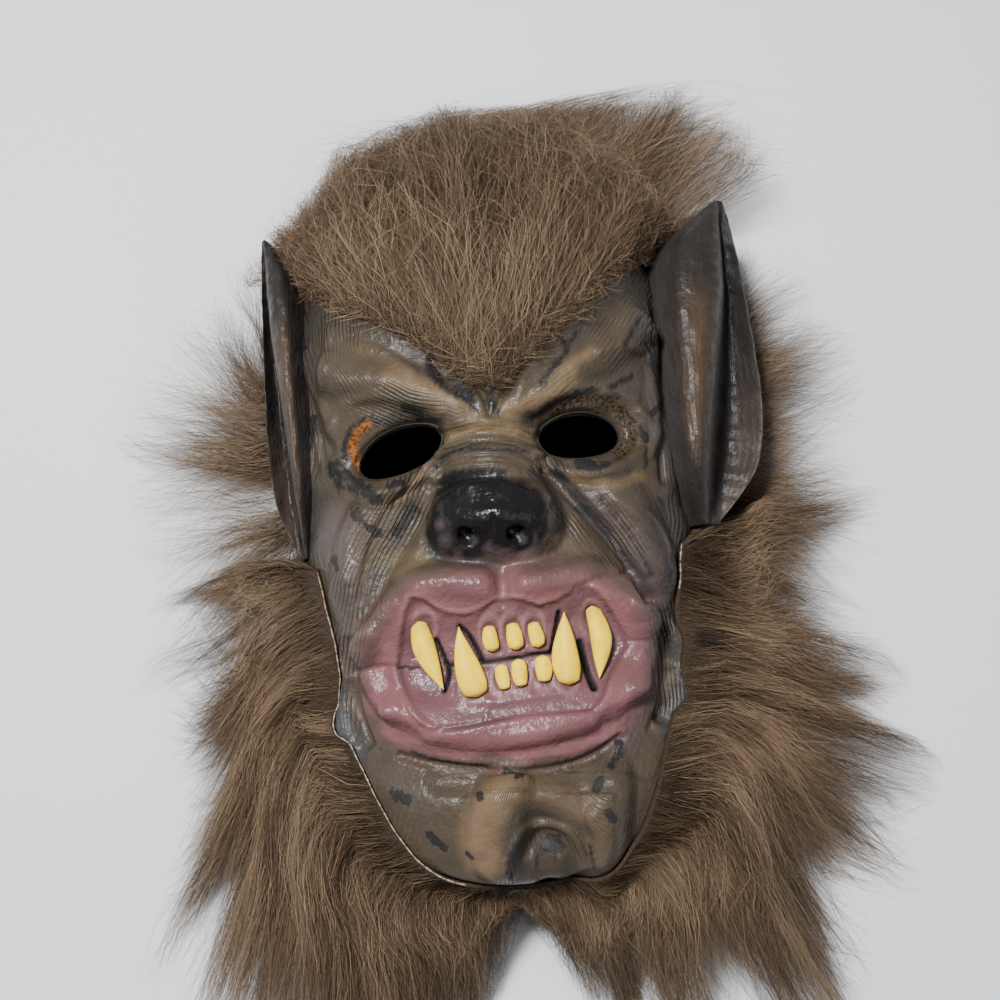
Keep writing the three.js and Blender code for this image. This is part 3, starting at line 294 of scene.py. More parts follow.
# finer forms: path, reach in pixels, lift in mm, edge
creases = [
    # fold over the nose
    ([(436, 480), (455, 469), (480, 465), (510, 468), (535, 480), (548, 500)], 7, 1.5, 2),
    ([(441, 487), (458, 478), (482, 476), (508, 478), (530, 487)], 4, -1.6, 2),
    ([(444, 505), (455, 514), (475, 518), (500, 516), (525, 512), (538, 505)], 15, 1.4, 3),  # its front edge
    ([(492, 518), (489, 532), (487, 550)], 6, -1.3, 2),
    ([(464, 535), (467, 538)], 9, -5, 3), ([(515, 535), (517, 533)], 9, -5, 3),  # nostrils
    ([(453, 528), (458, 545), (474, 549)], 5, 1.2, 2), ([(527, 526), (527, 541), (514, 547)], 5, 1.2, 2),
    ([(462, 340), (470, 368), (484, 398), (489, 415)], 5, -2.2, 2),  # frown
    ([(530, 338), (518, 362), (503, 392), (494, 415)], 5, -2.2, 2),
    ([(443, 345), (462, 378), (480, 402)], 6, 1.5, 2), ([(545, 345), (530, 370), (510, 398)], 6, 1.5, 2),
    ([(428, 352), (440, 372), (466, 398)], 4, -1.2, 2), ([(560, 352), (545, 375), (522, 398)], 4, -1.2, 2),
    ([(430, 436), (455, 424), (490, 421), (515, 424), (536, 432)], 6, 1.5, 2),  # bridge folds
    ([(437, 446), (458, 435), (490, 432), (515, 435), (532, 443)], 4, -1.1, 2),
    ([(430, 458), (452, 444), (485, 440), (515, 442), (538, 456)], 5, 1.0, 2),
    ([(438, 462), (458, 452), (488, 448), (514, 450), (536, 462)], 3.5, -1.0, 2),
    ([(434, 470), (455, 458), (485, 455), (515, 457), (538, 468)], 4, 0.8, 2),
    ([(340, 468), (352, 486), (375, 494), (400, 488), (425, 470), (440, 455)], 7, 1.9, 2),  # eye bags
    ([(338, 480), (352, 498), (378, 506), (405, 498), (428, 482)], 5, -1.5, 2),
    ([(536, 455), (560, 468), (590, 474), (620, 466), (642, 450)], 7, 1.9, 2),
    ([(545, 472), (572, 484), (602, 486), (632, 474)], 5, -1.3, 2),
    ([(640, 410), (655, 430), (650, 455)], 6, 1.6, 2), ([(333, 420), (328, 445), (334, 468)], 6, 1.4, 2),
    ([(345, 405), (375, 396), (410, 400), (440, 412)], 9, 1.4, 2),  # upper lids
    ([(535, 408), (560, 392), (600, 388), (635, 398)], 9, 1.4, 2),
    ([(425, 460), (404, 492), (382, 522), (368, 560), (360, 600)], 6, -2.0, 2),  # beside the snout
    ([(545, 470), (572, 500), (600, 530), (628, 565), (648, 600)], 6, -2.4, 2),
    ([(560, 470), (592, 500), (622, 535), (646, 572)], 6, 1.5, 2),
    ([(357, 506), (345, 540), (345, 580)], 10, 1.5, 2), ([(615, 500), (650, 520), (668, 550)], 10, 1.5, 2),
    ([(418, 582), (450, 580), (480, 585)], 22, 2.6, 2),  # lobes of the upper lip
    ([(528, 582), (560, 578), (590, 566)], 16, 2.0, 2),
    ([(500, 575), (504, 592)], 9, -0.8, 2),
    ([(404, 600), (412, 594), (430, 602), (452, 612), (472, 612), (492, 600), (520, 598),
      (540, 604)], 3, 0.7, 2),
    ([(398, 690), (408, 714), (426, 730), (450, 728), (490, 720), (540, 712), (590, 708)], 4, -1.1, 2),
    ([(574, 588), (592, 582), (612, 574), (630, 570)], 4, -1.3, 2),
    ([(378, 620), (368, 650), (366, 680), (378, 712)], 12, 0.6, 2),
    ([(632, 600), (642, 640), (636, 684), (620, 716)], 12, 0.6, 2),
    ([(430, 738), (470, 744), (510, 742), (560, 732), (590, 724)], 14, 2.0, 2),  # lower lip roll
    ([(400, 756), (440, 766), (500, 772), (550, 770), (590, 758), (620, 738)], 7, -2.6, 2),
    ([(357, 672), (376, 668), (397, 667)], 5, -1.1, 2), ([(628, 640), (640, 641), (650, 640)], 3, -0.7, 2),
    ([(520, 776), (496, 790), (480, 815), (476, 845)], 20, 2.6, 2),  # chin: a crest, an arched hollow, a lobe
    ([(520, 790), (560, 800), (584, 815)], 24, 2.6, 2), ([(596, 815), (604, 840), (600, 862)], 15, 3.0, 2),
    ([(508, 872), (514, 846), (528, 828), (550, 824), (574, 836), (586, 866)], 6, 1.6, 2),
    ([(520, 874), (528, 846), (548, 838), (566, 850), (574, 868)], 13, -2.8, 3),
    ([(546, 858), (546, 874)], 14, -2.0, 3),
    ([(334, 690), (344, 715), (354, 742)], 12, 1.4, 2), ([(350, 685), (360, 715), (372, 745)], 6, -1.4, 2),
    ([(684, 670), (678, 700), (664, 730)], 12, 1.4, 2), ([(668, 672), (662, 700), (650, 728)], 6, -1.4, 2),
    ([(272, 330), (285, 400), (300, 470), (306, 530)], 8, 1.6, 2),
    ([(292, 330), (303, 400), (315, 470)], 6, -1.6, 2),
    ([(330, 330), (322, 380), (325, 430)], 7, 1.2, 2),
    ([(655, 330), (652, 380), (660, 430), (668, 490)], 8, 1.6, 2),
    ([(672, 330), (668, 390), (676, 450), (684, 505)], 5, -1.8, 2),
    ([(600, 350), (625, 345), (648, 355)], 7, 1.2, 2), ([(350, 345), (380, 352), (412, 372)], 8, 1.6, 2),
]
# cuts beside the teeth and along the mouth line, sunk and painted near black as painted shade: path, half
# width, depth
mouthCuts = [
    ([(397, 667), (418, 668)], 0.9, 0.9), ([(445, 665), (455, 665)], 1.2, 1.2),
    ([(482, 662), (510, 659), (530, 655), (553, 652)], 1.5, 1.6),
    ([(459, 629), (468, 636), (477, 650), (482, 661)], 2.0, 1.6),
    ([(435, 640), (444, 660), (448, 674), (443, 690)], 1.8, 1.6),
    ([(560, 614), (556, 632), (552, 652)], 1.8, 1.5), ([(581, 642), (587, 666), (594, 686)], 2.8, 1.5),
]
# where each tooth stands in the gums
toothPlaces = {
    "upper_canine_left": (424, 628), "lower_fang_left": (472, 686),
    "upper_incisor_left": (490, 633), "upper_incisor_middle": (512, 630),
    "upper_incisor_right": (534, 629), "lower_incisor_left": (502, 679),
    "lower_incisor_middle": (520, 677), "lower_incisor_right": (544, 672),
    "lower_fang_right": (568, 675), "upper_canine_right": (593, 620),
}


def faceGrid(us, ts, distance=0.0):  # points of the face at every pair of u and t, raised by a distance
    u, t = np.meshgrid(us, ts)
    base = headPoint(u, t)
    relief = reliefAt(base, u)
    return base + headNormal(u, t) * (relief + distance)[..., None], u, t


def eyeOval(side):  # tilt and half length of an eye hole
    return math.radians(16 if side < 0 else 1), face["eyeLength"] / 2 * (1 if side < 0 else 0.92)


def ovalShare(p, side):  # 1 on the edge of an eye hole, less inside
    tilt, long = eyeOval(side)
    dx, dy = p[..., 0] - side * face["eyeSpacing"] / 2, p[..., 1] - face["eyeHeight"]
    a, b = dx * math.cos(tilt) + dy * math.sin(tilt), -dx * math.sin(tilt) + dy * math.cos(tilt)
    return np.hypot(a / long, b / (face["eyeOpening"] / 2)), np.stack([dx, dy], -1)


def openHoles(points, faces):  # drops the faces inside the eye holes and draws their edge to the oval
    keep = np.ones(len(faces), bool)
    for side in (-1, 1):
        share, offset = ovalShare(points, side)
        inside = share < 1
        keep &= ~inside[faces].all(1)
        pull = inside & (share > 0.55)
        points[pull, 0] = side * face["eyeSpacing"] / 2 + (offset[pull] / share[pull, None])[:, 0]
        points[pull, 1] = face["eyeHeight"] + (offset[pull] / share[pull, None])[:, 1]
    return faces[keep]


# sum of the creases, the sunk gum with its edge and ripples, the beds of the teeth, the cuts and
# the rolls round the eye holes, each a bump over the distance to its curve, dying away at the rims
def fineRelief(p, u, t, seen):
    fine = np.zeros(u.shape)
    for path, reach, lift, edge in creases:
        k = np.minimum(distanceTo(softLine(path), seen) / reach, 1)
        fine += lift * (1 - k ** edge) ** 2
    gum = insideOf(gumEdge, seen)
    fine += -1.5 * smooth(gum / 10 + 0.3) + 0.5 * np.exp(-((gum + 4) / 6) ** 2)
    rippled = np.sin(seen[..., 0] * 0.35 + 2 * np.sin(seen[..., 1] * 0.11))
    fine += 0.5 * rippled * smooth(gum / 8) * smooth((626 - seen[..., 1]) / 14)
    for name, (x, y) in toothPlaces.items():
        wide = 11 if "incisor" in name else 14
        r = np.hypot(seen[..., 0] - x, seen[..., 1] - y)
        fine += 0.7 * np.exp(-((r - wide) / 2.6) ** 2)
    for path, half, depth in mouthCuts:
        fine -= depth * smooth(1.5 - distanceTo(softLine(path), seen) / half)
    for side in (-1, 1):
        share, _ = ovalShare(p, side)
        fine += 1.1 * np.exp(-((share - 1.22) / 0.1) ** 2) - 0.8 * np.exp(-((share - 1.02) / 0.06) ** 2)
    return np.clip(fine, -5, 4) * smooth((1 - np.abs(u)) / 0.2) * smooth((t - 0.5) / 1.1)


# the surface of the solid on a finer grid, raised along its normals by the fine relief
def makeFace():
    us = np.concatenate([np.linspace(-1, -0.66, face["acrossSide"])[:-1],
                         np.linspace(-0.66, 0.66, face["acrossFine"]),
                         np.linspace(0.66, 1, face["acrossSide"])[1:]])
    ts = np.concatenate([np.linspace(0, 10.4, face["alongFine"]),
                         np.linspace(10.4, lastT, face["alongCoarse"])[1:]])
    p, u, t = faceGrid(us, ts)
    slopeU, slopeT = np.gradient(p, axis=1), np.gradient(p, axis=0)
    normal = unit(np.cross(slopeU, slopeT))
    seen = seenAt(p)
    gum = insideOf(gumEdge, seen)
    p = p + normal * fineRelief(p, u, t, seen)[..., None]

    points = p.reshape(-1, 3)
    faces = gridFaces(len(ts), len(us))
    faces = openHoles(points, faces)
    piece = makeMesh("latexSkin", points, faces)
    paintFace(piece, points, seen.reshape(-1, 2), gum.ravel(), u.ravel())
    return piece


# dull paint first, then the lit tans and greys: path, reach in pixels, colour, strength. Some dull strokes
# are painted shade; the lit tans on the raised brows, bridge and chin are tan paint with a painted highlight
paintStrokes = [
    ([(300, 300), (290, 380), (300, 460), (310, 530)], 40, (54, 52, 52), 0.9),   # temples, grey
    ([(300, 306), (350, 312), (400, 332), (440, 372)], 30, (55, 51, 45), 0.85),   # under the hairline, painted shade beside the fur, here and on the next line
    ([(520, 360), (570, 320), (620, 285), (670, 250)], 30, (49, 45, 42), 0.8),
    ([(664, 250), (660, 320), (672, 400), (690, 510)], 36, (58, 55, 54), 0.9),
    ([(620, 380), (650, 400), (668, 440)], 24, (66, 60, 56), 0.8),
    ([(312, 400), (326, 440), (322, 480)], 20, (78, 70, 62), 0.6),
    ([(336, 520), (345, 560), (352, 610), (352, 650)], 26, (82, 72, 68), 0.8),    # cheeks, mauve grey
    ([(600, 500), (630, 540), (650, 590)], 28, (76, 64, 60), 0.8),
    ([(650, 520), (672, 580), (670, 640)], 24, (50, 44, 42), 0.8),
    ([(640, 610), (650, 660), (640, 710), (622, 750)], 22, (66, 56, 54), 0.8),
    # the folds beside the snout, darkened as painted shade in their grooves, the right one most
    ([(556, 470), (580, 500), (606, 530), (632, 565), (655, 610), (664, 650)], 11, (36, 35, 38), 0.9),
    ([(412, 505), (398, 530), (380, 565), (368, 600)], 8, (56, 52, 52), 0.7),
    ([(352, 660), (352, 710), (380, 760), (430, 810)], 22, (72, 64, 58), 0.7),
    # painted shade in the chin's arched hollow
    ([(528, 872), (546, 850), (568, 872)], 24, (56, 48, 40), 0.9),
    ([(532, 474), (548, 486), (556, 506), (556, 530)], 9, (38, 38, 42), 0.85),     # round the nose, painted shade at its right side and under it, here and on the next line
    ([(432, 526), (432, 548), (448, 562), (480, 566), (500, 560)], 8, (34, 34, 36), 0.95),
    ([(505, 556), (530, 552), (548, 545)], 7, (62, 50, 50), 0.8),
    ([(486, 408), (490, 396), (492, 380)], 9, (46, 43, 41), 0.8),
    ([(540, 764), (590, 754), (622, 732)], 9, (60, 52, 48), 0.8),                  # under the lower lip, painted shade
    ([(528, 420), (548, 404), (580, 396)], 8, (58, 50, 46), 0.8),                  # over the right eye
]
litStrokes = [
    ([(392, 376), (425, 388), (452, 402), (474, 412)], 15, (110, 91, 66), 0.75),    # brow ends, tan paint with a painted highlight
    ([(504, 412), (535, 400), (570, 376)], 13, (112, 92, 67), 0.8),
    ([(560, 372), (590, 352)], 8, (108, 88, 64), 0.6),
    ([(360, 352), (395, 366)], 16, (76, 63, 45), 0.6),
    ([(440, 440), (470, 428), (505, 428), (535, 440)], 9, (114, 96, 68), 0.8),     # bridge, tan paint with a painted highlight
    ([(425, 470), (410, 490), (396, 500)], 8, (106, 88, 64), 0.7),
    ([(575, 478), (610, 484), (640, 476)], 9, (104, 86, 62), 0.7),                 # under the right eye
    ([(384, 560), (420, 556), (400, 575)], 12, (92, 80, 58), 0.7),
    ([(560, 540), (585, 560)], 9, (86, 74, 60), 0.6),
    ([(504, 790), (486, 812), (478, 840), (484, 862)], 26, (116, 94, 72), 0.8),   # chin, tan paint with a painted highlight on its lobes
    ([(500, 782), (545, 790), (580, 806)], 20, (92, 75, 58), 0.7),
    ([(588, 800), (600, 830), (600, 862)], 20, (90, 74, 58), 0.7),
    ([(332, 690), (340, 720), (356, 752)], 16, (62, 64, 68), 0.85),                # jaw bulges, grey
    ([(688, 660), (684, 695), (668, 728)], 17, (60, 61, 64), 0.85),
    ([(345, 670), (350, 640)], 8, (84, 74, 68), 0.6),
    # scuffs at the mouth corner
    ([(360, 625), (372, 660), (392, 700)], 9, (96, 60, 54), 0.45),
]
# bare dark rubber in the cuts, and painted shade in the creases beside the snout and under the lower lip:
# path, reach in pixels
darkCuts = [
    ([(401, 322), (408, 338), (414, 352)], 4),
    ([(423, 334), (426, 356), (433, 376), (446, 389), (458, 396)], 3),
    ([(430, 360), (436, 372), (439, 380)], 5), ([(437, 342), (448, 368), (460, 388), (476, 411)], 3.5),
    ([(446, 350), (458, 376), (472, 396)], 2.5), ([(518, 358), (511, 372), (512, 388)], 4),
    ([(558, 336), (566, 350), (554, 366), (540, 384)], 3.5), ([(577, 332), (572, 340)], 3),
    ([(596, 392), (580, 394), (556, 402), (532, 416)], 2.5), ([(632, 376), (620, 382), (609, 389)], 3),
    ([(617, 396), (604, 397), (592, 400)], 2), ([(640, 318), (630, 335), (624, 345)], 2.5),
    ([(436, 470), (446, 456), (462, 450), (500, 449), (524, 452)], 1.8),
    ([(446, 477), (470, 472), (504, 473)], 3),
    ([(344, 462), (345, 444), (353, 428), (366, 419)], 3), ([(366, 420), (386, 422), (404, 418)], 4),
    ([(340, 488), (330, 470), (338, 462)], 3), ([(660, 500), (670, 540), (672, 580)], 3),
    ([(600, 500), (630, 535), (652, 575)], 2), ([(506, 874), (512, 846), (526, 828)], 2),
    ([(590, 846), (594, 866)], 2),
    ([(412, 752), (450, 764), (486, 766)], 2), ([(500, 412), (492, 402), (490, 392)], 3),
    ([(656, 300), (648, 350), (660, 400)], 2.5), ([(300, 346), (292, 366), (300, 386)], 4),
]
# worn spots: path, reach in pixels
flakeSpots = [
    ([(406, 408), (414, 411), (420, 418)], 7), ([(353, 486), (364, 492), (377, 496)], 8),
    ([(338, 468), (348, 480)], 7),
    ([(391, 489), (399, 483)], 5), ([(356, 513), (358, 518)], 6), ([(365, 523), (376, 534)], 6),
    ([(412, 510), (404, 522), (400, 532)], 8), ([(577, 462), (592, 467), (608, 466)], 5),
    ([(508, 773), (512, 777)], 8),
    ([(552, 844), (560, 851)], 9), ([(398, 795), (408, 802)], 8), ([(480, 795), (484, 798)], 4),
    ([(620, 745), (612, 764)], 6),
    ([(600, 780), (596, 790)], 5), ([(300, 345), (290, 362)], 8), ([(312, 420), (306, 450)], 6),
    ([(582, 505), (590, 512)], 6),
    ([(686, 400), (684, 420)], 8), ([(676, 350), (680, 330)], 6), ([(664, 372), (655, 366)], 6),
    ([(654, 412), (664, 400)], 5),
    ([(640, 425), (646, 440)], 4), ([(335, 560), (338, 570)], 5), ([(342, 742), (350, 752)], 6),
    ([(610, 810), (614, 820)], 5),
    ([(470, 852), (474, 858)], 4), ([(430, 520), (436, 512)], 5), ([(572, 392), (590, 390)], 4),
    ([(430, 835), (445, 850)], 5),
]
# lines of the moulding flow along these curves
flows = {
    "snout": [(346, 700), (352, 640), (362, 590), (380, 545), (405, 505), (425, 470), (445, 450),
              (470, 441), (490, 439), (515, 441), (537, 450), (556, 475), (585, 510), (615, 545),
              (645, 590), (660, 640), (664, 700), (640, 950), (370, 950)],
    "browLeft": [(352, 318), (356, 352), (372, 380), (408, 396), (446, 403), (478, 416), (520, 500),
                 (900, 300), (600, 100), (352, 100)],
    "browRight": [(500, 418), (540, 396), (575, 370), (605, 335), (640, 280), (700, 150), (300, 150),
                  (440, 440)],
    "templeLeft": ([300, 350, 400, 440, 480, 520, 600], [300, 305, 314, 322, 318, 308, 318]),
    "templeRight": ([250, 340, 400, 460, 520, 600], [662, 650, 662, 672, 680, 676]),
}
# of these, cut, hole and gumEdge are painted shade, gumLit is a painted highlight and the rubber tone is
# partly painted shade in creases
skinTones = {
    "base": (69, 60, 49), "sides": (52, 48, 46), "rubberAndCreaseShade": (27, 29, 32), "hole": (20, 18, 17),
    "pink": (116, 76, 79), "pinkEdge": (88, 66, 63), "pinkDull": (96, 66, 66), "cut": (3, 2, 2),
    "gum": (102, 70, 74), "gumEdge": (74, 48, 50), "gumLit": (146, 102, 102), "toothRing": (146, 106, 106),
    "nose": (19, 18, 20), "mauve": (76, 62, 64), "nostril": (14, 14, 15), "nostrilDeep": (54, 54, 56),
    "orange": (128, 76, 30), "speckled": (60, 49, 33),
}
# x, y and radius in the photograph's pixels
noseSpots = [(446, 542, 11), (440, 524, 7), (531, 538, 9), (488, 548, 8), (502, 554, 8), (458, 552, 7)]
nostrilPlaces = [(474, 540), (524, 538)]
orangePath = [(358, 464), (353, 448), (357, 434), (368, 425)]
lidPath = [(556, 410), (585, 402), (612, 406), (630, 424), (630, 440), (620, 454)]
chinShinePath = [(504, 788), (492, 806)]
chinHollowPath = [(530, 880), (546, 856), (564, 880)]


# the paint of the whole face: each stroke fades by (1 - k^2)^1.5, k being the distance to its
# curve over its reach, and the rest are masks over the distance to an outline or a curve
def paintFace(piece, points, seen, gum, u):
    pink = insideOf(pinkEdge, seen)
    noseMask = smooth((insideOf(noseEdge, seen) + 3) / 5)
    rimNear = np.minimum(ovalShare(points, -1)[0], ovalShare(points, 1)[0])
    # painted shade: the skin goes near black round the eye holes' rims, as dark as the holes
    holes = 0.9 * smooth((1.12 - rimNear) / 0.1)
    orange = distanceTo(softLine(orangePath), seen)
    speckled = smooth((9 - distanceTo(softLine(lidPath), seen)) / 4)
    x, y = seen[:, 0], seen[:, 1]
    tone = np.tile(srgb(*skinTones["base"]), (len(points), 1))
    lay(tone, skinTones["sides"], 0.8 * smooth((np.abs(u) - 0.62) / 0.3))
    for path, reach, colour, strength in paintStrokes + litStrokes:
        k = np.minimum(distanceTo(softLine(path, 4), seen) / reach, 1)
        lay(tone, colour, strength * (1 - k ** 2) ** 1.5)
    paintLips(tone, x, y, pink, gum)
    paintNose(tone, x, y, noseMask)
    # painted shade: near black along the mouth line and beside the teeth, wider than the sunk cuts, for the
    # slit's dark and the shadows beside the fangs
    for path, half, _ in mouthCuts:
        lay(tone, skinTones["cut"], smooth(1.9 - distanceTo(softLine(path), seen) / half))
    ragged = 0.35 * np.sin(x * 0.9 + 2 * np.sin(y * 0.8)) + 0.25 * np.sin(y * 1.7 + x * 0.3)
    # bare dark rubber in the cuts, and painted shade in some creases
    for path, reach in darkCuts:
        k = distanceTo(softLine(path), seen) / reach
        lay(tone, skinTones["rubberAndCreaseShade"], 0.9 * smooth(1.45 + ragged - k))
    # painted shade at the eye holes' rims
    lay(tone, skinTones["hole"], holes)
    lay(tone, skinTones["orange"], smooth(1.5 + 0.6 * ragged - orange / 4))
    lay(tone, skinTones["speckled"], 0.9 * speckled)
    giveColour(piece, "tone", tone)

    flake = np.zeros(len(points))
    for path, reach in flakeSpots:
        flake = np.maximum(flake, 1.15 - distanceTo(softLine(path, 4), seen) / (1.7 * reach))
    flake = np.maximum(flake, 0.5 * np.exp(-((rimNear - 1.2) / 0.12) ** 2))
    giveValue(piece, "flake", np.maximum(flake, 0) * (1 - noseMask) * (1 - 0.8 * smooth(pink / 10)))
    giveValue(piece, "speckle", np.maximum(speckled, 0.7 * smooth(1.6 - orange / 5)))
    matt = smooth((holes - 0.2) * 2)
    for path, half, _ in mouthCuts:
        matt = np.maximum(matt, smooth(2.2 - distanceTo(softLine(path), seen) / half))
    chinShine = smooth(2 - distanceTo(softLine(chinShinePath), seen) / 9)
    wet = 0.8 * smooth((pink + 2) / 8) + 0.9 * noseMask + 0.6 * chinShine
    giveValue(piece, "wet", np.clip(wet, 0, 1) - 4 * matt)
    away = np.clip(1 - smooth((pink + 4) / 10) - noseMask, 0, 1) * (1 - smooth((1.25 - rimNear) / 0.2))
    giveWrinkles(piece, seen, x, y, away)


# pink lips with a mottled edge, gums inside them and a pale ring round each tooth; painted shade along the
# gum's edge under the lips and a painted highlight on the upper gum line
def paintLips(tone, x, y, pink, gum):
    softer = 8 + 14 * smooth((740 - y) / 60)
    mottled = 4 * np.sin(x * 0.11 + 2 * np.sin(y * 0.07)) + 3 * np.sin(y * 0.19 + x * 0.05)
    duller = smooth(0.5 + 0.4 * np.sin(x * 0.06 + 1.5 * np.sin(y * 0.05)))
    broken = smooth(0.6 + 0.5 * np.sin(x * 0.05 + y * 0.03))
    lay(tone, skinTones["pinkEdge"], 0.75 * smooth((pink + 18 + mottled) / 24))
    lay(tone, skinTones["pink"], smooth((pink + mottled * 0.7) / softer))
    lay(tone, skinTones["pinkDull"], 0.5 * duller * smooth(pink / 12))
    lay(tone, skinTones["gum"], smooth((gum + 1) / 4))
    # painted shade where the lips overhang the gum
    lay(tone, skinTones["gumEdge"], 0.55 * np.exp(-((gum - 1.5) / 2.5) ** 2) * broken)
    for toothX, toothY in toothPlaces.values():
        ring = np.hypot(x - toothX, (y - toothY) * 0.6)
        lay(tone, skinTones["toothRing"], 0.45 * np.exp(-((ring - 11) / 2.0) ** 2))
    # painted highlight on the ridge along the upper gum's edge
    lay(tone, skinTones["gumLit"], 0.5 * np.exp(-((gum + 3) / 2.2) ** 2) * smooth((640 - y) / 40))


def paintNose(tone, x, y, noseMask):  # black, with mauve spots where it is worn and dull nostrils
    lay(tone, skinTones["nose"], noseMask)
    for spotX, spotY, r in noseSpots:
        k = np.minimum(np.hypot(x - spotX, y - spotY) / r, 1)
        lay(tone, skinTones["mauve"], 0.8 * (1 - k ** 2))
    for nostrilX, nostrilY in nostrilPlaces:
        k = np.hypot(x - nostrilX, y - nostrilY)
        lay(tone, skinTones["nostril"], 0.95 * smooth((12 - k) / 4))
        lay(tone, skinTones["nostrilDeep"], smooth((6.5 - k) / 4))


# phases of the fine wrinkles, as the distance to a flow line over the wrinkles' pitch, and masks
# of where each set shows: round the snout, over the brows, and down the temples, jaw and chin
def giveWrinkles(piece, seen, x, y, away):
    arch = -insideOf(flows["snout"], seen)
    above = smooth((742 - y) / 50)
    giveValue(piece, "wavePhase", arch / 4.3)
    low = smooth((y - 424 + 24 * smooth((55 - np.abs(x - 490)) / 30)) / 22)
    giveValue(piece, "waveMask", away * low * above * smooth((46 - arch) / 24) * smooth((arch + 34) / 16))
    left, right = -insideOf(flows["browLeft"], seen), -insideOf(flows["browRight"], seen)
    leftEnd = smooth((372 + 130 * smooth((x - 330) / 30) - y) / 40 + 0.3)
    browMask = np.where(x < 492, smooth((left + 14) / 14) * smooth((44 - left) / 14) * leftEnd,
                        0.75 * smooth((38 - np.abs(right - 8)) / 22))
    giveValue(piece, "browPhase", np.where(x < 492, left / 3.6, right / 4.6))
    giveValue(piece, "browMask", away * (1 - low) * smooth((np.abs(x - 491) - 5) / 10) * browMask)
    templeLeft, templeRight = x - np.interp(y, *flows["templeLeft"]), x - np.interp(y, *flows["templeRight"])
    side = smooth((24 - np.abs(templeLeft + 6)) / 16) + smooth((24 - np.abs(templeRight - 4)) / 16)
    middle = smooth((110 - np.abs(x - 540)) / 40) * smooth((y - 770) / 26)
    hollow = distanceTo(softLine(chinHollowPath), seen)
    chin = smooth((y - 700) / 50) * (1 - above) * smooth((hollow - 8) / 12)
    lobes = np.arctan2(y - 748, x - 522) * 30 + 0.02 * (x - 522)
    jawPhase = np.where(y < 660, np.where(x < 490, templeLeft, templeRight) / 4.2,
                        ((x * 0.8 + y * 0.35) / 5.5) * (1 - middle) + lobes * middle)
    giveValue(piece, "jawPhase", jawPhase)
    chin = chin * (0.4 + 0.1 * middle) * (1 - smooth(9 * middle * (1 - middle)))  # none where two phases meet
    giveValue(piece, "jawMask", away * np.where(y < 660, 0.9 * side * smooth((640 - y) / 50), chin))


def makeInside():  # the hollow side: the same surface one wall lower, smoothed
    us, ts = np.linspace(-1, 1, 120), np.linspace(0, lastT, 130)
    p, u, t = faceGrid(us, ts)
    relief = reliefAt(headPoint(u, t), u)
    lowest = relief + np.minimum(fineRelief(p, u, t, seenAt(p)), 0)
    for axis in (0, 1):
        for step in (-4, -3, -2, -1, 1, 2, 3, 4):
            lowest = np.minimum(lowest, np.roll(lowest, step, axis))
    lowest = np.where((np.abs(u) > 0.9) | (t < 0.6) | (t > lastT - 0.6), np.minimum(relief, 0), lowest)
    p = headPoint(u, t) + headNormal(u, t) * (lowest - face["wall"])[..., None]
    p[..., 2] = np.maximum(p[..., 2], 0.0)
    points = p.reshape(-1, 3)
    faces = openHoles(points, gridFaces(len(ts), len(us))[:, ::-1])
    return makeMesh("latexInside", points, faces)


def makeEyeRims():  # the skin's thickness round each eye hole: an oval ring dropping inwards
    pieces = []
    for side, label in ((-1, "Left"), (1, "Right")):
        tilt, long = eyeOval(side)
        a = np.linspace(0, 2 * np.pi, 120, endpoint=False)
        rings = []
        for share, drop in ((1.03, 0.0), (1.0, 0.1), (0.985, 1.0), (0.985, 3.2), (1.04, 3.4), (1.06, 1.2)):
            ex, ey = share * long * np.cos(a), share * face["eyeOpening"] / 2 * np.sin(a)
            x = side * face["eyeSpacing"] / 2 + ex * math.cos(tilt) - ey * math.sin(tilt)
            y = face["eyeHeight"] + ex * math.sin(tilt) + ey * math.cos(tilt)
            u, t = placeOn(x, y)
            base = headPoint(u, t)
            z = (base + headNormal(u, t) * reliefAt(base, u)[..., None])[..., 2]
            rings.append(np.stack([x, y, z - 0.6 - drop], -1))
        points = np.concatenate(rings)
        rows, n = len(rings), len(a)
        faces = gridFaces(rows, n, around=True)
        last = np.arange(n) + (rows - 1) * n
        close = np.stack([last, np.roll(last, -1), np.roll(np.arange(n), -1), np.arange(n)], -1)
        pieces.append(makeMesh("eyeRim" + label, points, np.concatenate([faces, close])))
    return pieces


latexSkin = makeFace()
latexInside = makeInside()
eyeRims = makeEyeRims()
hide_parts("latex_face")
print("face made")


# ears: a folded plate each, its front through five points of every row
ear = {"height": 156, "flareRight": 48, "flareLeft": 22, "thickness": 4.2, "rows": 96, "columns": 44}
# y, then x and z of the root, bulge, ridge, floor and rim, root to tip, in shares
earTable = np.array([
    [0, 0.04, 0.41, 0.19, 0.49, 0.29, 0.51, 0.35, 0.49, 0.42, 0.46],
    [0.154, -0.04, 0.55, 0.15, 0.68, 0.31, 0.66, 0.52, 0.45, 0.85, 0.49],
    [0.327, -0.08, 0.59, 0.17, 0.73, 0.4, 0.69, 0.64, 0.42, 0.98, 0.5],
    [0.519, -0.06, 0.59, 0.21, 0.74, 0.52, 0.68, 0.73, 0.41, 0.98, 0.5],
    [0.712, -0.02, 0.55, 0.23, 0.71, 0.63, 0.66, 0.78, 0.45, 0.94, 0.51],
    [0.872, 0.13, 0.5, 0.35, 0.64, 0.67, 0.63, 0.77, 0.52, 0.88, 0.54],
    [1, 0.63, 0.51, 0.69, 0.56, 0.73, 0.58, 0.77, 0.57, 0.81, 0.55]])


# the tan and ridge tones are painted highlight on the bulge and ridge line, the fold tone painted shade in
# the hollow
earTones = {"base": (38, 35, 33), "tan": (74, 58, 43), "ridge": (66, 58, 52), "root": (54, 51, 49),
            "fold": (24, 23, 23), "lobe": (64, 54, 47), "rim": (60, 56, 52), "back": (52, 47, 44)}
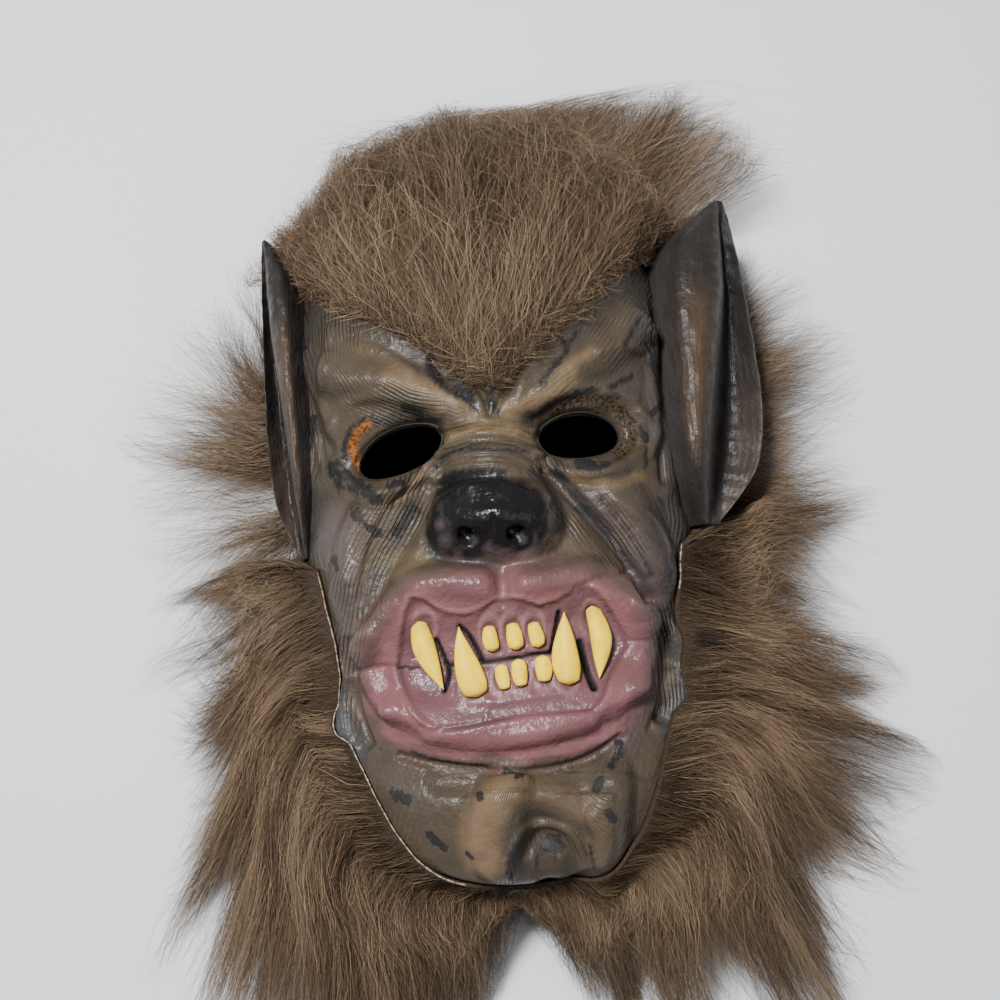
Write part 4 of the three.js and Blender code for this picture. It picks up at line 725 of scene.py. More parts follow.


# the paint of an ear: bands across it, each exp(-((k - middle) / width)^2), k going from 0 at its
# root to 4 at its rim and high from 0 to 1 up the ear; its back is one colour. The tan band on the bulge
# and the pale ridge line are painted highlight, the dark fold band painted shade in the hollow
def paintEar(piece, k, high, y):
    tone = np.tile(srgb(*earTones["base"]), (len(k), 1))
    inMiddle = smooth((0.78 - high) / 0.2) * smooth((high - 0.1) / 0.2)
    # tan paint with a painted highlight on the bulge
    lay(tone, earTones["tan"], 0.8 * np.exp(-((k - 1.25 - 0.3 * high) / 0.42) ** 2) * inMiddle)
    # painted highlight along the ridge
    lay(tone, earTones["ridge"], 0.6 * np.exp(-((k - 2.05) / 0.2) ** 2))
    lay(tone, earTones["root"], smooth((0.9 - k) / 0.5))
    # painted shade in the hollow before the rim
    lay(tone, earTones["fold"], 0.85 * np.exp(-((k - 2.85) / 0.45) ** 2))
    lay(tone, earTones["lobe"], 0.7 * smooth((k - 3.1) / 0.4) * smooth((0.55 - high) / 0.3))
    lay(tone, earTones["rim"], 0.6 * np.exp(-((k - 3.93) / 0.1) ** 2))
    giveColour(piece, "tone", np.concatenate([tone, np.tile(srgb(*earTones["back"]), (len(k), 1))]))
    for name, values in (("flake", 0.12 + 0.3 * np.exp(-((k - 2.8) / 0.6) ** 2)),
                         ("speckle", 0 * k),
                         ("wet", 0.2 * np.exp(-((k - 1.4) / 0.5) ** 2) - 0.6),
                         ("wavePhase", k * 5.5 + 0.02 * y),
                         ("waveMask", np.full(len(k), 0.28))):
        giveValue(piece, name, np.concatenate([values, values]))


def makeEar(side, flare, name):  # front points, and behind them the same grid one thickness back
    r, a = np.meshgrid(np.linspace(0, 6, ear["rows"]), np.linspace(0, 4, ear["columns"]), indexing="ij")
    at = curveThrough(earTable, r.ravel())
    xs, zs = at[:, 1::2], at[:, 2::2]
    k = a.ravel()
    i = np.clip(np.floor(k).astype(int), 0, 3)
    f = k - i
    n = np.arange(len(k))
    pick = lambda v, j: v[n, np.clip(j, 0, 4)]
    f2, f3 = f * f, f ** 3
    blend = lambda v: (2 * f3 - 3 * f2 + 1) * pick(v, i) \
        + (f3 - 2 * f2 + f) * (pick(v, i + 1) - pick(v, i - 1)) / 2 \
        + (3 * f2 - 2 * f3) * pick(v, i + 1) + (f3 - f2) * (pick(v, i + 2) - pick(v, i)) / 2
    x = 0.42 * face["width"] + blend(xs) * flare
    y = -0.017 * face["height"] + at[:, 0] * ear["height"]
    z = blend(zs) * face["depth"]
    buried = np.clip(1 - k / 0.7, 0, 1) ** 2  # the root edge sinks into the head
    x, z = x - 3 * buried, z - 10 * buried
    rough = 0.5 * np.sin(y * 0.31 + 2 * k) * np.sin(k * 5.1) + 0.35 * np.sin(y * 0.9 + k * 3) * smooth(k - 1)
    front = np.stack([x * side, y, z + rough], -1)
    taper = smooth(np.minimum(r.ravel(), 6 - r.ravel()) / 1.2)
    depth = ear["thickness"] * (0.3 + 0.7 * taper) * (1 - 0.4 * smooth(k - 3))
    rounded = 1 - 0.85 * smooth((k - 3.75) / 0.25)
    back = front + np.array([-0.25 * side, 0, -0.97]) * (depth * rounded)[:, None]
    faces = slabFaces(ear["rows"], ear["columns"])
    if side > 0:
        faces = [q[:, ::-1] for q in faces]
    piece = makeMesh(name, np.concatenate([front, back]), faces)
    paintEar(piece, k, at[:, 0], y)
    return piece


ears = [makeEar(1, ear["flareRight"], "earRight"), makeEar(-1, ear["flareLeft"], "earLeft")]
print("ears made")

# teeth: x, y, aim in degrees, length, girth share, where it is fullest, bow
teeth = {
    "upper_canine_left": (-0.186, -0.125, -74, 31, 0.32, 0.35, -0.05),
    "upper_canine_right": (0.19, -0.124, -89, 31, 0.3, 0.45, 0.08),
    "lower_fang_left": (-0.07, -0.222, 101, 31, 0.4, 0.22, 0.04),
    "lower_fang_right": (0.126, -0.217, 89, 31, 0.39, 0.3, 0.02),
    "upper_incisor_left": (-0.036, -0.138, -85, 11, 0.62, 0.55, 0),
    "upper_incisor_middle": (0.015, -0.137, -84, 11.55, 0.62, 0.6, 0),
    "upper_incisor_right": (0.061, -0.138, -83, 11, 0.6, 0.55, 0),
    "lower_incisor_left": (-0.012, -0.216, 95, 11, 0.55, 0.5, 0),
    "lower_incisor_middle": (0.024, -0.214, 93, 11.88, 0.58, 0.5, 0),
    "lower_incisor_right": (0.073, -0.211, 88, 11.55, 0.64, 0.5, 0),
}
toothLook = {"rings": 34, "sides": 32}


def makeTooth(name, row, seed):  # a drop along a bowed line: girth rises by a sine and falls by a power
    x0, y0, aim, length, across, full, bow = row
    turn = math.radians(aim)
    forward = np.array([math.cos(turn), math.sin(turn)])
    sideways = np.array([-math.sin(turn), math.cos(turn)])
    pointed = length > 16
    f = np.linspace(0, 1, toothLook["rings"]) ** (1 if pointed else 0.9)
    rise = np.sin(np.pi / 2 * np.minimum(f / full, 1))
    past = np.maximum(f - full, 0) / (1 - full)
    fall = 1 - past ** 1.7 if pointed else 1 - 0.45 * past ** 3
    ends = np.sqrt(np.clip(f / 0.06, 0, 1)) * (1 if pointed else np.sqrt(np.clip((1 - f) / 0.1, 0, 1)))
    girth = length * across / 2 * np.maximum((0.62 + 0.38 * rise) * fall, 0.03) * np.maximum(ends, 0.05)
    centre = np.array([x0 * face["width"], y0 * face["height"]]) + f[:, None] * length * forward \
        + (bow * length * np.sin(np.pi * f))[:, None] * sideways
    u, t = placeOn(centre[:, 0], centre[:, 1])
    base = headPoint(u, t)
    z = (base + headNormal(u, t) * reliefAt(base, u)[..., None])[:, 2]
    z = z + (2.2 * np.sin(np.pi * np.minimum(f * 0.8 + 0.1, 1)) if pointed else 1.2)
    a = np.linspace(0, 2 * np.pi, toothLook["sides"], endpoint=False)
    rng = np.random.default_rng(seed)
    lump = 1 + 0.05 * np.sin(3 * a + rng.uniform(0, 6))[None, :] * np.sin(6 * f + rng.uniform(0, 6))[:, None]
    flat = 0.62 if pointed else 0.75
    ring = girth[:, None] * lump
    points = np.stack([centre[:, 0, None] + sideways[0] * ring * np.cos(a),
                       centre[:, 1, None] + sideways[1] * ring * np.cos(a),
                       z[:, None] + flat * ring * np.sin(a)], -1)
    rows, n = len(f), len(a)
    ridge = 0.14 * np.exp(-((a[None, :] - np.pi / 2) / 0.5) ** 2) * girth[:, None]
    points[..., 2] += ridge
    hubs = np.stack([points[0].mean(0), points[-1].mean(0)])
    start = np.stack([np.full(n, rows * n), np.roll(np.arange(n), -1), np.arange(n)], -1)
    last = np.arange(n) + (rows - 1) * n
    stop = np.stack([np.full(n, rows * n + 1), last, np.roll(last, -1)], -1)
    piece = makeMesh(name, np.concatenate([points.reshape(-1, 3), hubs]),
                     [gridFaces(rows, n, around=True), start, stop])
    giveValue(piece, "along", np.concatenate([np.repeat(f, n), [0, 1]]))
    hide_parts(name.replace("tooth_", ""))
    return piece


toothPieces = [makeTooth("tooth_" + name, row, 11 + k) for k, (name, row) in enumerate(teeth.items())]
print("teeth made")

# strap: a flat band whose ends turn up along the inside of the temples, in mm
strap = {"width": 38, "thickness": 1.5, "half": 96, "turn": 15, "bend": 7}


def makeStrap():  # a band section carried along a line: flat, a quarter turn at each end, then up
    half, bend, up = strap["half"], strap["bend"], strap["turn"]
    mid = strap["thickness"] / 2
    angle = np.linspace(0, np.pi / 2, 10)
    right = np.stack([half - bend - mid + bend * np.sin(angle), mid + bend * (1 - np.cos(angle))], -1)
    tail = np.stack([np.full(6, half - mid), np.linspace(mid + bend, up, 7)[1:]], -1)
    flat = np.stack([np.linspace(0, half - bend - mid, 30)[:-1], np.full(29, mid)], -1)
    side = np.concatenate([flat, right, tail])
    line = np.concatenate([side[::-1] * [-1, 1], side[1:]])
    along = unit(np.gradient(line, axis=0))
    out = np.stack([-along[:, 1], along[:, 0]], -1)
    across = np.linspace(-strap["width"] / 2, strap["width"] / 2, 24)
    n, m = len(line), len(across)
    grid = lambda sign: np.stack([np.repeat((line + out * sign * mid)[:, 0], m), strapY + np.tile(across, n),
                                  np.repeat((line + out * sign * mid)[:, 1], m)], -1)
    piece = makeMesh("headStrap", np.concatenate([grid(1), grid(-1)]), [q[:, ::-1] for q in slabFaces(n, m)])
    run = np.concatenate([[0], np.cumsum(np.linalg.norm(np.diff(line, axis=0), axis=1))])
    giveValue(piece, "run", np.tile(np.repeat(run, m), 2))
    giveValue(piece, "across", np.tile(np.tile(across, n), 2))
    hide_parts("head_strap")
    return piece, run[-1]


strapPiece, strapLength = makeStrap()
print("strap made")


# fur: each band has locks from a root line on the head, over its edge, to their tips
fur = {
    "thickness": 3, "clear": 1.1,  # backing, and its height over the latex
    "dark": (42, 33, 24), "mid": (82, 65, 49), "pale": (150, 126, 100), "paleShare": 0.1,
    "rootToTip": [0.5, 0.85, 1.0, 1.1, 1.2],  # how light a hair gets along its length: darker at the root as painted shade deep in the pile, paler towards the tip
    "taper": [0.9, 1.0, 0.85, 0.6],  # its width before the point
    "curl": (8, 21), "curlTurn": 19,  # short fuzz: length and sideways turn in mm
    "room": (14, 16), "easeOff": 20,  # how far past the solids hairs may reach, sideways and lengthways
}
crownBand = {  # innerU, innerT, outerU, outerT, tip x, y, z, size
    "locks": [
        (-0.73, 11.25, -0.82, 12.5, -2.0, 0.8, 1.6, 0.8),
        (-0.6, 10.7, -0.68, 12.8, -1.6, 1.2, 0.8, 1.2),
        (-0.45, 10.1, -0.56, 12.85, -1.1, 1.4, 0.5, 0.9),
        (-0.31, 9.78, -0.4, 12.85, -0.7, 1.8, 0.7, 1.3),
        (-0.18, 9.45, -0.22, 12.85, -0.3, 1.5, 0.5, 1),
        (-0.05, 9.08, -0.05, 12.85, 0.1, 2.0, 0.7, 1.35),
        (0.05, 8.98, 0.1, 12.85, 0.5, 2.0, 0.5, 1.05), (0.17, 9.35, 0.26, 12.85, 1.2, 2.6, 0.7, 1.4),
        (0.31, 9.75, 0.42, 12.85, 2.2, 3.3, 0.9, 1), (0.45, 10.25, 0.56, 12.85, 3.2, 3.7, 1.4, 1.3),
        (0.58, 10.75, 0.68, 12.8, 4.3, 3.4, 1.8, 1), (0.7, 11.35, 0.79, 12.5, 5.0, 2.5, 2.8, 0.9)],
    "reach": 13, "notch": 0.45, "lift": 0.2, "pile": 13, "valley": 0.5, "root": 0.3, "taper": 0.8,
    "held": 0.85, "strands": 38000, "clumps": 520, "length": (24, 58), "height": 1.25, "rootTo": 0.97,
    "width": 0.19, "wave": 6.5, "spread": 4.6, "stray": 0.5, "draw": 0.4, "coat": 0.93, "fuzz": 0.5,
    "turn": 26, "bias": 0.8,
}
sideBand = {
    "locks": [
        (0.84, 11.7, 0.97, 11.7, 0.3, 0.75, 0.12, 0.8),
        (0.83, 11.2, 0.97, 11.2, 0.62, 0.66, 0.05, 1.1),
        (0.82, 10.7, 0.97, 10.7, 0.78, 0.55, 0.18, 0.9),
        (0.82, 10.2, 0.97, 10.2, 0.9, 0.42, 0.05, 1.2), (0.82, 9.7, 0.97, 9.7, 0.95, 0.3, 0.2, 0.9),
        (0.82, 9.2, 0.97, 9.2, 1.02, 0.18, 0.05, 1.15), (0.82, 8.7, 0.97, 8.7, 1.0, 0.06, 0.2, 0.85),
        (0.82, 8.2, 0.97, 8.2, 1.06, -0.08, 0.05, 1.2), (0.82, 7.7, 0.97, 7.7, 1.0, -0.2, 0.16, 0.9),
        (0.84, 7.3, 0.97, 6.8, 0.98, -0.4, 0.05, 1.0)],
    "reach": 82, "notch": 0.6, "lift": 0.1, "pile": 9.1, "valley": 0.45, "root": 0.4, "taper": 0.45,
    "held": 0.25, "strands": 6000, "clumps": 120, "length": (50, 115), "height": 0.7, "rootTo": 0.3,
    "width": 0.19, "wave": 5, "spread": 4.0, "stray": 0.28, "draw": 0.93, "coat": 0.2, "fuzz": 0.0,
    "turn": 12, "bias": 1,
}
thinBand = {**sideBand, "strands": 2600, "clumps": 62, "spread": 2.6, "wave": 6}
beardBand = {
    "locks": [
        (-0.7, 6.9, -0.95, 7.3, -0.55, -0.12, 0.06, 0.8),
        (-0.67, 6.3, -0.95, 6.2, -0.58, -0.44, 0.06, 1.1),
        (-0.66, 5.6, -0.95, 5.5, -0.60, -0.60, 0.02, 0.9),
        (-0.68, 5, -0.95, 4.9, -0.75, -0.95, 0.06, 1.2),
        (-0.76, 4.2, -0.95, 4.2, -0.57, -1.02, 0.02, 0.95),
        (-0.77, 3.5, -0.95, 3.5, -0.68, -1.49, 0.06, 1.15),
        (-0.72, 2.8, -0.95, 2.7, -0.50, -1.48, 0.02, 0.9),
        (-0.64, 2.1, -0.93, 1.6, -0.38, -1.56, 0.06, 1.2),
        (-0.56, 1.6, -0.88, 0.7, -0.17, -1.11, 0.02, 0.9),
        (-0.46, 1.2, -0.7, 0.2, -0.08, -1.30, 0.06, 1.1),
        (-0.34, 0.9, -0.48, 0.1, 0.02, -0.78, 0.02, 0.85),
        (-0.2, 0.65, -0.27, 0.1, -0.05, -0.72, 0.06, 0.8),
        (-0.04, 0.55, -0.05, 0.1, 0.04, -0.1, 0.02, 0.3),
        (0.12, 0.55, 0.16, 0.1, 0.12, -0.74, 0.02, 1),
        (0.26, 0.65, 0.36, 0.1, 0.11, -0.65, 0.02, 0.85),
        (0.4, 0.85, 0.55, 0.1, 0.28, -1.07, 0.06, 1.1), (0.52, 1.3, 0.78, 0.3, 0.36, -0.95, 0.02, 0.9),
        (0.6, 1.8, 0.9, 1, 0.68, -1.27, 0.06, 1.2), (0.64, 2.4, 0.94, 1.9, 0.62, -0.89, 0.02, 0.9),
        (0.68, 3.1, 0.95, 3, 0.80, -0.70, 0.06, 1.1), (0.73, 3.9, 0.95, 3.8, 1.12, -0.44, 0.2, 1.4),
        (0.7, 4.7, 0.95, 4.6, 0.75, -0.27, 0.02, 0.9), (0.66, 5.4, 0.95, 5.3, 0.85, -0.20, 0.2, 1.3),
        (0.66, 6.1, 0.95, 6, 0.68, -0.08, 0.02, 0.9), (0.7, 6.8, 0.95, 7.3, 0.62, 0.06, 0.2, 1)],
    "reach": 96, "notch": 0.68, "lift": 0.16, "pile": 10.4, "valley": 0.5, "root": 0.35, "taper": 0.55,
    "held": 0.3, "strands": 31000, "clumps": 330, "length": (70, 150), "height": 1.1, "rootTo": 0.55,
    "width": 0.2, "wave": 4.5, "spread": 4.6, "stray": 0.24, "draw": 0.9, "coat": 0.55, "fuzz": 0.0,
    "turn": 9, "bias": 1,
}


# k counts the locks and s runs from root line to tips; the underside follows the head out to
# the band's edge, then a curve of three points; its height swells and falls by two s-curves
def bandTables(band, side, even=0.0):
    rows = np.array(band["locks"], float)
    if side < 0:
        rows = rows * [-1, 1, -1, 1, -1, 1, 1, 1]
    n = len(rows)
    k = np.linspace(0, n - 1, (n - 1) * 8 + 1)
    row = np.stack([np.interp(k, np.arange(n), rows[:, c]) for c in range(8)], -1)
    valley = (0.5 - 0.5 * np.cos(2 * np.pi * k)) * (1 - even)
    size = row[:, 7] * (1 - (1 - band["valley"]) * valley)
    s = np.linspace(0, 1, 41)
    g = np.clip(s / band["held"], 0, 1)
    u = row[:, 0, None] + (row[:, 2] - row[:, 0])[:, None] * g
    t = row[:, 1, None] + (row[:, 3] - row[:, 1])[:, None] * g
    base = headPoint(u, t)
    ups = headNormal(u, t)
    under = base + ups * (np.maximum(reliefAt(base, u), 0) + fur["clear"])[..., None]
    heldCount = int(np.searchsorted(s, band["held"] + 1e-9))
    edge, rim = under[:, heldCount - 1], ups[:, heldCount - 1]
    share = 1 + (band["notch"] - 1) * valley
    reach = band["reach"]
    tip = np.stack([edge[:, 0] + row[:, 4] * reach * share, edge[:, 1] + row[:, 5] * reach * share,
                    edge[:, 2] + (row[:, 6] * reach - edge[:, 2]) * share], -1)
    via = edge + (tip - edge) * 0.45 + np.array([0, 0, band["lift"] * reach])
    f = ((s[heldCount:] - s[heldCount - 1]) / (1 - s[heldCount - 1]))[None, :, None]
    under[:, heldCount:] = edge[:, None] * (1 - f) ** 2 + 2 * via[:, None] * f * (1 - f) \
        + tip[:, None] * f ** 2
    m = np.minimum(1.6 * f, 1)
    ups[:, heldCount:] = unit(rim[:, None] * (1 - m) + np.array([0, 0, 1.0]) * m)
    swell = smooth(s / band["root"]) * (1 - smooth((s - band["taper"]) / (1.02 - band["taper"])))
    height = fur["thickness"] * 0.8 + size[:, None] * band["pile"] * swell[None, :]
    return {"k": k, "s": s, "n": n, "under": under, "ups": ups, "height": height}


def sample(table, values, k, s):  # bilinear reading of a band table
    a = np.clip(k / (table["n"] - 1), 0, 1) * (values.shape[0] - 1)
    b = np.clip(s, 0, 1) * (values.shape[1] - 1)
    i, j = np.minimum(a.astype(int), values.shape[0] - 2), np.minimum(b.astype(int), values.shape[1] - 2)
    fa, fb = a - i, b - j
    if values.ndim > 2:
        fa, fb = fa[..., None], fb[..., None]
    return (values[i, j] * (1 - fa) + values[i + 1, j] * fa) * (1 - fb) \
        + (values[i, j + 1] * (1 - fa) + values[i + 1, j + 1] * fa) * fb


def makeUndercoat(name, band, table, node):  # the band's own closed sheet, its top at part of the pile
    k = np.linspace(0, table["n"] - 1, (table["n"] - 1) * 10 + 1)
    s = np.linspace(0, band["coat"], 40)
    kk, ss = np.meshgrid(k, s, indexing="ij")
    under = sample(table, table["under"], kk, ss)
    ups = unit(sample(table, table["ups"], kk, ss))
    high = sample(table, table["height"], kk, ss)
    ripple = 0.5 + 0.25 * np.sin(kk * 21 + 3 * ss) + 0.25 * np.sin(kk * 47 + 5 * np.sin(kk * 9))
    high = 0.3 + (high - 0.3) * (0.5 + 0.12 * ripple) * (1 - 0.85 * smooth((ss / band["coat"] - 0.55) / 0.45))
    low = under - ups * 0.3
    top = under + ups * high[..., None]
    low[..., 2], top[..., 2] = np.maximum(low[..., 2], 0.2), np.maximum(top[..., 2], 0.6)
    points = np.concatenate([top.reshape(-1, 3), low.reshape(-1, 3)])
    faces = slabFaces(len(k), len(s))
    outward = np.einsum("i,i", np.cross(top[0, 5] - top[0, 4], top[1, 4] - top[0, 4]), ups[0, 4])
    if outward > 0:
        faces = [q[:, ::-1] for q in faces]
    piece = makeMesh(name, points, faces)
    width = np.linalg.norm(np.diff(top[:, 20], axis=0), axis=-1).sum()
    giveValue(piece, "across", np.tile((kk / (table["n"] - 1) * width).ravel(), 2))
    giveValue(piece, "along", np.tile(ss.ravel(), 2))
    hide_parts(node)
    return piece


# slim strips along lines: two points a ring, half a width to each side of the line and turned
# about it, and one point at the tip; light from 0 to 1 picks the tone from dark over mid to pale
def makeStrips(name, line, width, turned, light, parts):
    count, rings = line.shape[:2]
    along = unit(np.gradient(line, axis=1))
    first = unit(np.cross(along, np.array([0.13, 0.07, 1.0])))
    second = np.cross(along, first)
    half = width[:, None, None] / 2 * np.array(fur["taper"])[None, :, None]
    turned = turned[:, None, None]
    edge = half * (first[:, :-1] * np.cos(turned) + second[:, :-1] * np.sin(turned))
    pairs = np.stack([line[:, :-1] - edge, line[:, :-1] + edge], 2).reshape(count, -1, 3)
    points = np.concatenate([pairs, line[:, -1:]], 1)
    each = points.shape[1]
    quads = gridFaces(rings - 1, 2)
    tris = np.array([[each - 3, each - 2, each - 1]])
    dark, mid, pale = (srgb(*fur[tone]) for tone in ("dark", "mid", "pale"))
    light = light[:, None]
    shade = np.where(light < 0.5, dark + (mid - dark) * light * 2, mid + (pale - mid) * (light - 0.5) * 2)
    # painted shade: each hair darker towards its root, deep in the pile
    rootToTip = np.repeat(fur["rootToTip"], 2)[:-1]
    colour = shade[:, None, :] * rootToTip[None, :, None]
    made = []
    for part, chosen in enumerate(np.array_split(np.arange(count), parts)):
        offset = (np.arange(len(chosen)) * each)[:, None, None]
        piece = makeMesh(name + (str(part + 1) if parts > 1 else ""), points[chosen].reshape(-1, 3),
                         [(quads[None] + offset).reshape(-1, 4), (tris[None] + offset).reshape(-1, 3)])
        giveColour(piece, "tone", colour[chosen].reshape(-1, 3))
        made.append(piece)
    return made


# each hair starts near a clump and runs down the band, f going from 0 at its root to 1 at its
# tip: sideways it is drawn to its clump by f^0.8 and turned by f^1.5, its height over the latex
# is the pile's height by an arch sin(pi f)^0.7, and a sine that grows with f sways it
def makeStrands(name, band, table, seed, parts):
    rng = np.random.default_rng(seed)
    count, clumps = band["strands"], band["clumps"]
    last = table["n"] - 1
    middle = sample(table, table["under"], np.linspace(0, last, 60), np.full(60, 0.3))
    span = np.linalg.norm(np.diff(middle, axis=0), axis=-1).sum()
    run = np.linalg.norm(np.diff(table["under"], axis=1), axis=-1).sum(1)  # length of every column
    clumpK = -0.3 + (last + 0.6) * rng.uniform(0, 1, clumps) ** band["bias"]
    clumpS = rng.uniform(-0.01, band["rootTo"], clumps)
    clumpTurn = rng.normal(0, 1, (clumps, 4))
    which = rng.integers(0, clumps, count)
    perMm = last / span
    around = rng.normal(0, 1, (count, 2))
    k0 = clumpK[which] + around[:, 0] * band["spread"] * perMm
    own = np.interp(np.clip(clumpK[which], 0, last), table["k"], run)
    s0 = np.clip(clumpS[which] + around[:, 1] * band["spread"] / own, 0, 0.94)
    s0 = np.where((band["fuzz"] > 0) & (rng.uniform(0, 1, count) < 0.12), rng.uniform(0, 0.05, count), s0)
    k0 = np.clip(k0, 0.02, last - 0.02)
    stray = rng.uniform(0, 1, count) < band["stray"]
    curly = (rng.uniform(0, 1, count) < band["fuzz"]) & (s0 < 0.6)  # short fuzz by the root line
    f = np.linspace(0, 1, len(fur["rootToTip"]))[None, :]
    lengths = rng.uniform(*band["length"], clumps)[which] * rng.uniform(0.7, 1.15, count)
    lengths = lengths * np.clip((own / np.median(own)) ** 1.4, 0.25, 1.2)
    lengths = np.where(curly, rng.uniform(*fur["curl"], count), lengths)
    ahead = np.where(curly & (s0 < 0.12), rng.uniform(-0.45, 0.8, count), 1.0)
    s = s0[:, None] + f * (ahead * lengths / own)[:, None]
    behind = np.minimum(s, 0) * own[:, None]  # fuzz that falls over the root line
    beyond = np.maximum(s - 1, 0) * own[:, None]  # how far past the band's tips
    draw = np.where(stray | curly, 0.05, band["draw"])[:, None] * f ** 0.8
    loose, close = rng.normal(0, 1.3 * band["turn"], count), rng.normal(0, 0.2 * band["turn"], count)
    turn = clumpTurn[which, 0] * 0.5 * band["turn"] + np.where(stray, loose, close)
    turn = np.where(curly, rng.normal(0, fur["curlTurn"], count), turn) * np.clip(lengths / 60, 0.4, 1.4)
    k = k0[:, None] + (clumpK[which] - k0)[:, None] * draw + (turn * perMm)[:, None] * f ** 1.5
    under = sample(table, table["under"], np.clip(k, 0, last), s)
    ups = unit(sample(table, table["ups"], np.clip(k, 0, last), s))
    further = sample(table, table["under"], np.clip(k, 0, last), np.minimum(s, 0.97) + 0.03)
    way = unit(further - sample(table, table["under"], np.clip(k, 0, last), np.minimum(s, 0.97)))
    high = sample(table, table["height"], np.clip(k, 0, last), s)
    lie = np.where(curly, rng.uniform(0.2, 0.7, count), 0.3 + 0.8 * rng.uniform(0, 1, count) ** 0.8)[:, None]
    arch = np.sin(np.pi * np.minimum(0.12 + 0.85 * f, 1)) ** 0.7
    lifted = np.where(stray, rng.uniform(0, 5, count), 0)[:, None]
    rise = high * (0.3 + lie * 0.95 * arch * band["height"]) + lifted * f
    sideways = unit(np.cross(way, ups))
    phase = clumpTurn[which, 1] * 3 + rng.normal(0, 1.0, count)
    waves = (3.5 + clumpTurn[which, 2] + rng.uniform(0, 3.5, count))[:, None]
    sway = band["wave"] * (np.sin(f * waves + phase[:, None]) - np.sin(phase)[:, None]) * f
    bob = 0.5 * band["wave"] * np.sin(f * 5 + 2 * phase[:, None]) * f
    line = under + ups * (rise + bob)[..., None] + sideways * sway[..., None] \
        + way * (0.75 * beyond + behind)[..., None]
    ease = fur["easeOff"]
    for axis, room in enumerate(fur["room"]):  # tips bend back before they leave the object's room
        low, high = 1000 * cadBox[0][axis] - room + ease, 1000 * cadBox[1][axis] + room - ease
        shift = strapY if axis == 1 else 0
        v = line[..., axis] - shift
        v = np.where(v > high, high + ease * np.tanh((v - high) / ease), v)
        v = np.where(v < low, low - ease * np.tanh((low - v) / ease), v)
        line[..., axis] = v + shift
    line[..., 2] = np.maximum(line[..., 2], 0.5 + 0.4 * rng.uniform(0, 1, (count, 1)))
    width = band["width"] * rng.uniform(0.55, 1.25, count) * np.where(stray, 0.8, 1)
    turned = rng.uniform(-1.1, 1.1, count)
    # hairs that stand higher in the pile are painted paler and low ones darker: painted highlight and shade
    light = np.clip(0.4 * lie[:, 0] + 0.4 * rng.normal(0.5, 0.3, count) + 0.18 * clumpTurn[which, 3], 0, 1)
    light = np.where(rng.uniform(0, 1, count) < fur["paleShare"], 0.95, light)
    return makeStrips(name, line, width, turned, light, parts)


furPieces, strandPieces = [], []
for name, band, side, node, seed, parts in (("crown", crownBand, 1, "crown_fur", 3, 3),
                                            ("sideRight", sideBand, 1, "side_fur_right", 5, 1),
                                            ("sideLeft", thinBand, -1, "side_fur_left", 7, 1),
                                            ("beard", beardBand, 1, "beard_fur", 9, 2)):
    table = bandTables(band, side)
    furPieces.append(makeUndercoat("fur_" + name, band, table, node))
    evener = bandTables(band, side, 0.75 if name in ("crown", "beard") else 1)
    strandPieces += makeStrands("strands_" + name, band, evener, seed, parts)


# the pale cut edge of the fur's backing: rings of a wavering radius along the root line
def makeBacking(name, table, kFrom, kTo):
    k = np.linspace(kFrom, kTo, 160)
    at = sample(table, table["under"], k, 0 * k) + sample(table, table["ups"], k, 0 * k) * 0.7
    along = unit(np.gradient(at, axis=0))
    first = unit(np.cross(along, np.array([0, 0, 1.0])))
    second = np.cross(along, first)
    a = np.linspace(0, 2 * np.pi, 8, endpoint=False)
    wobble = 0.26 + 0.26 * np.sin(k * 31) * np.sin(k * 13)
    ring = at[:, None] + wobble[:, None, None] * (first[:, None] * np.cos(a)[None, :, None]
                                                  + second[:, None] * np.sin(a)[None, :, None])
    points = ring.reshape(-1, 3)
    n = len(a)
    return makeMesh(name, points, [gridFaces(len(k), n, around=True), np.arange(n)[None, ::-1],
                                   (np.arange(n) + (len(k) - 1) * n)[None]])


beardTable = bandTables(beardBand, 1)
backing = [makeBacking("backingLeft", beardTable, 0.1, 10.6),
           makeBacking("backingRight", beardTable, 22.9, 24.0)]
print("fur made")


def feed(tree, socket, value):  # a link, or a plain value
    if isinstance(value, bpy.types.NodeSocket):
        tree.links.new(value, socket)
    else:
        socket.default_value = value


def put(tree, kind, inputs=None, **settings):  # a node with its settings, and values or links on its inputs
    node = tree.nodes.new(kind)
    for key, value in settings.items():
        setattr(node, key, value)
    for key, value in (inputs or {}).items():
        feed(tree, node.inputs[key], value)
    return node


def math2(tree, operation, a, b=0.0):  # one sum of two node values
    return put(tree, "ShaderNodeMath", {0: a, 1: b}, operation=operation).outputs[0]


def times(tree, a, b):  # a times b
    return math2(tree, "MULTIPLY", a, b)


def plus(tree, a, b):  # a plus b
    return math2(tree, "ADD", a, b)


def minus(tree, a, b):  # a less b
    return math2(tree, "SUBTRACT", a, b)


def mixed(tree, amount, a, b):  # colour a turning to b
    node = put(tree, "ShaderNodeMix", data_type="RGBA")
    for index, value in ((0, amount), (6, a), (7, b)):
        feed(tree, node.inputs[index], value)
    return node.outputs[2]


def ramp(tree, value, low, high, outLow=0.0, outHigh=1.0):  # a smooth step from one range to another
    levels = {"Value": value, "From Min": low, "From Max": high, "To Min": outLow, "To Max": outHigh}
    return put(tree, "ShaderNodeMapRange", levels, interpolation_type="SMOOTHSTEP").outputs[0]


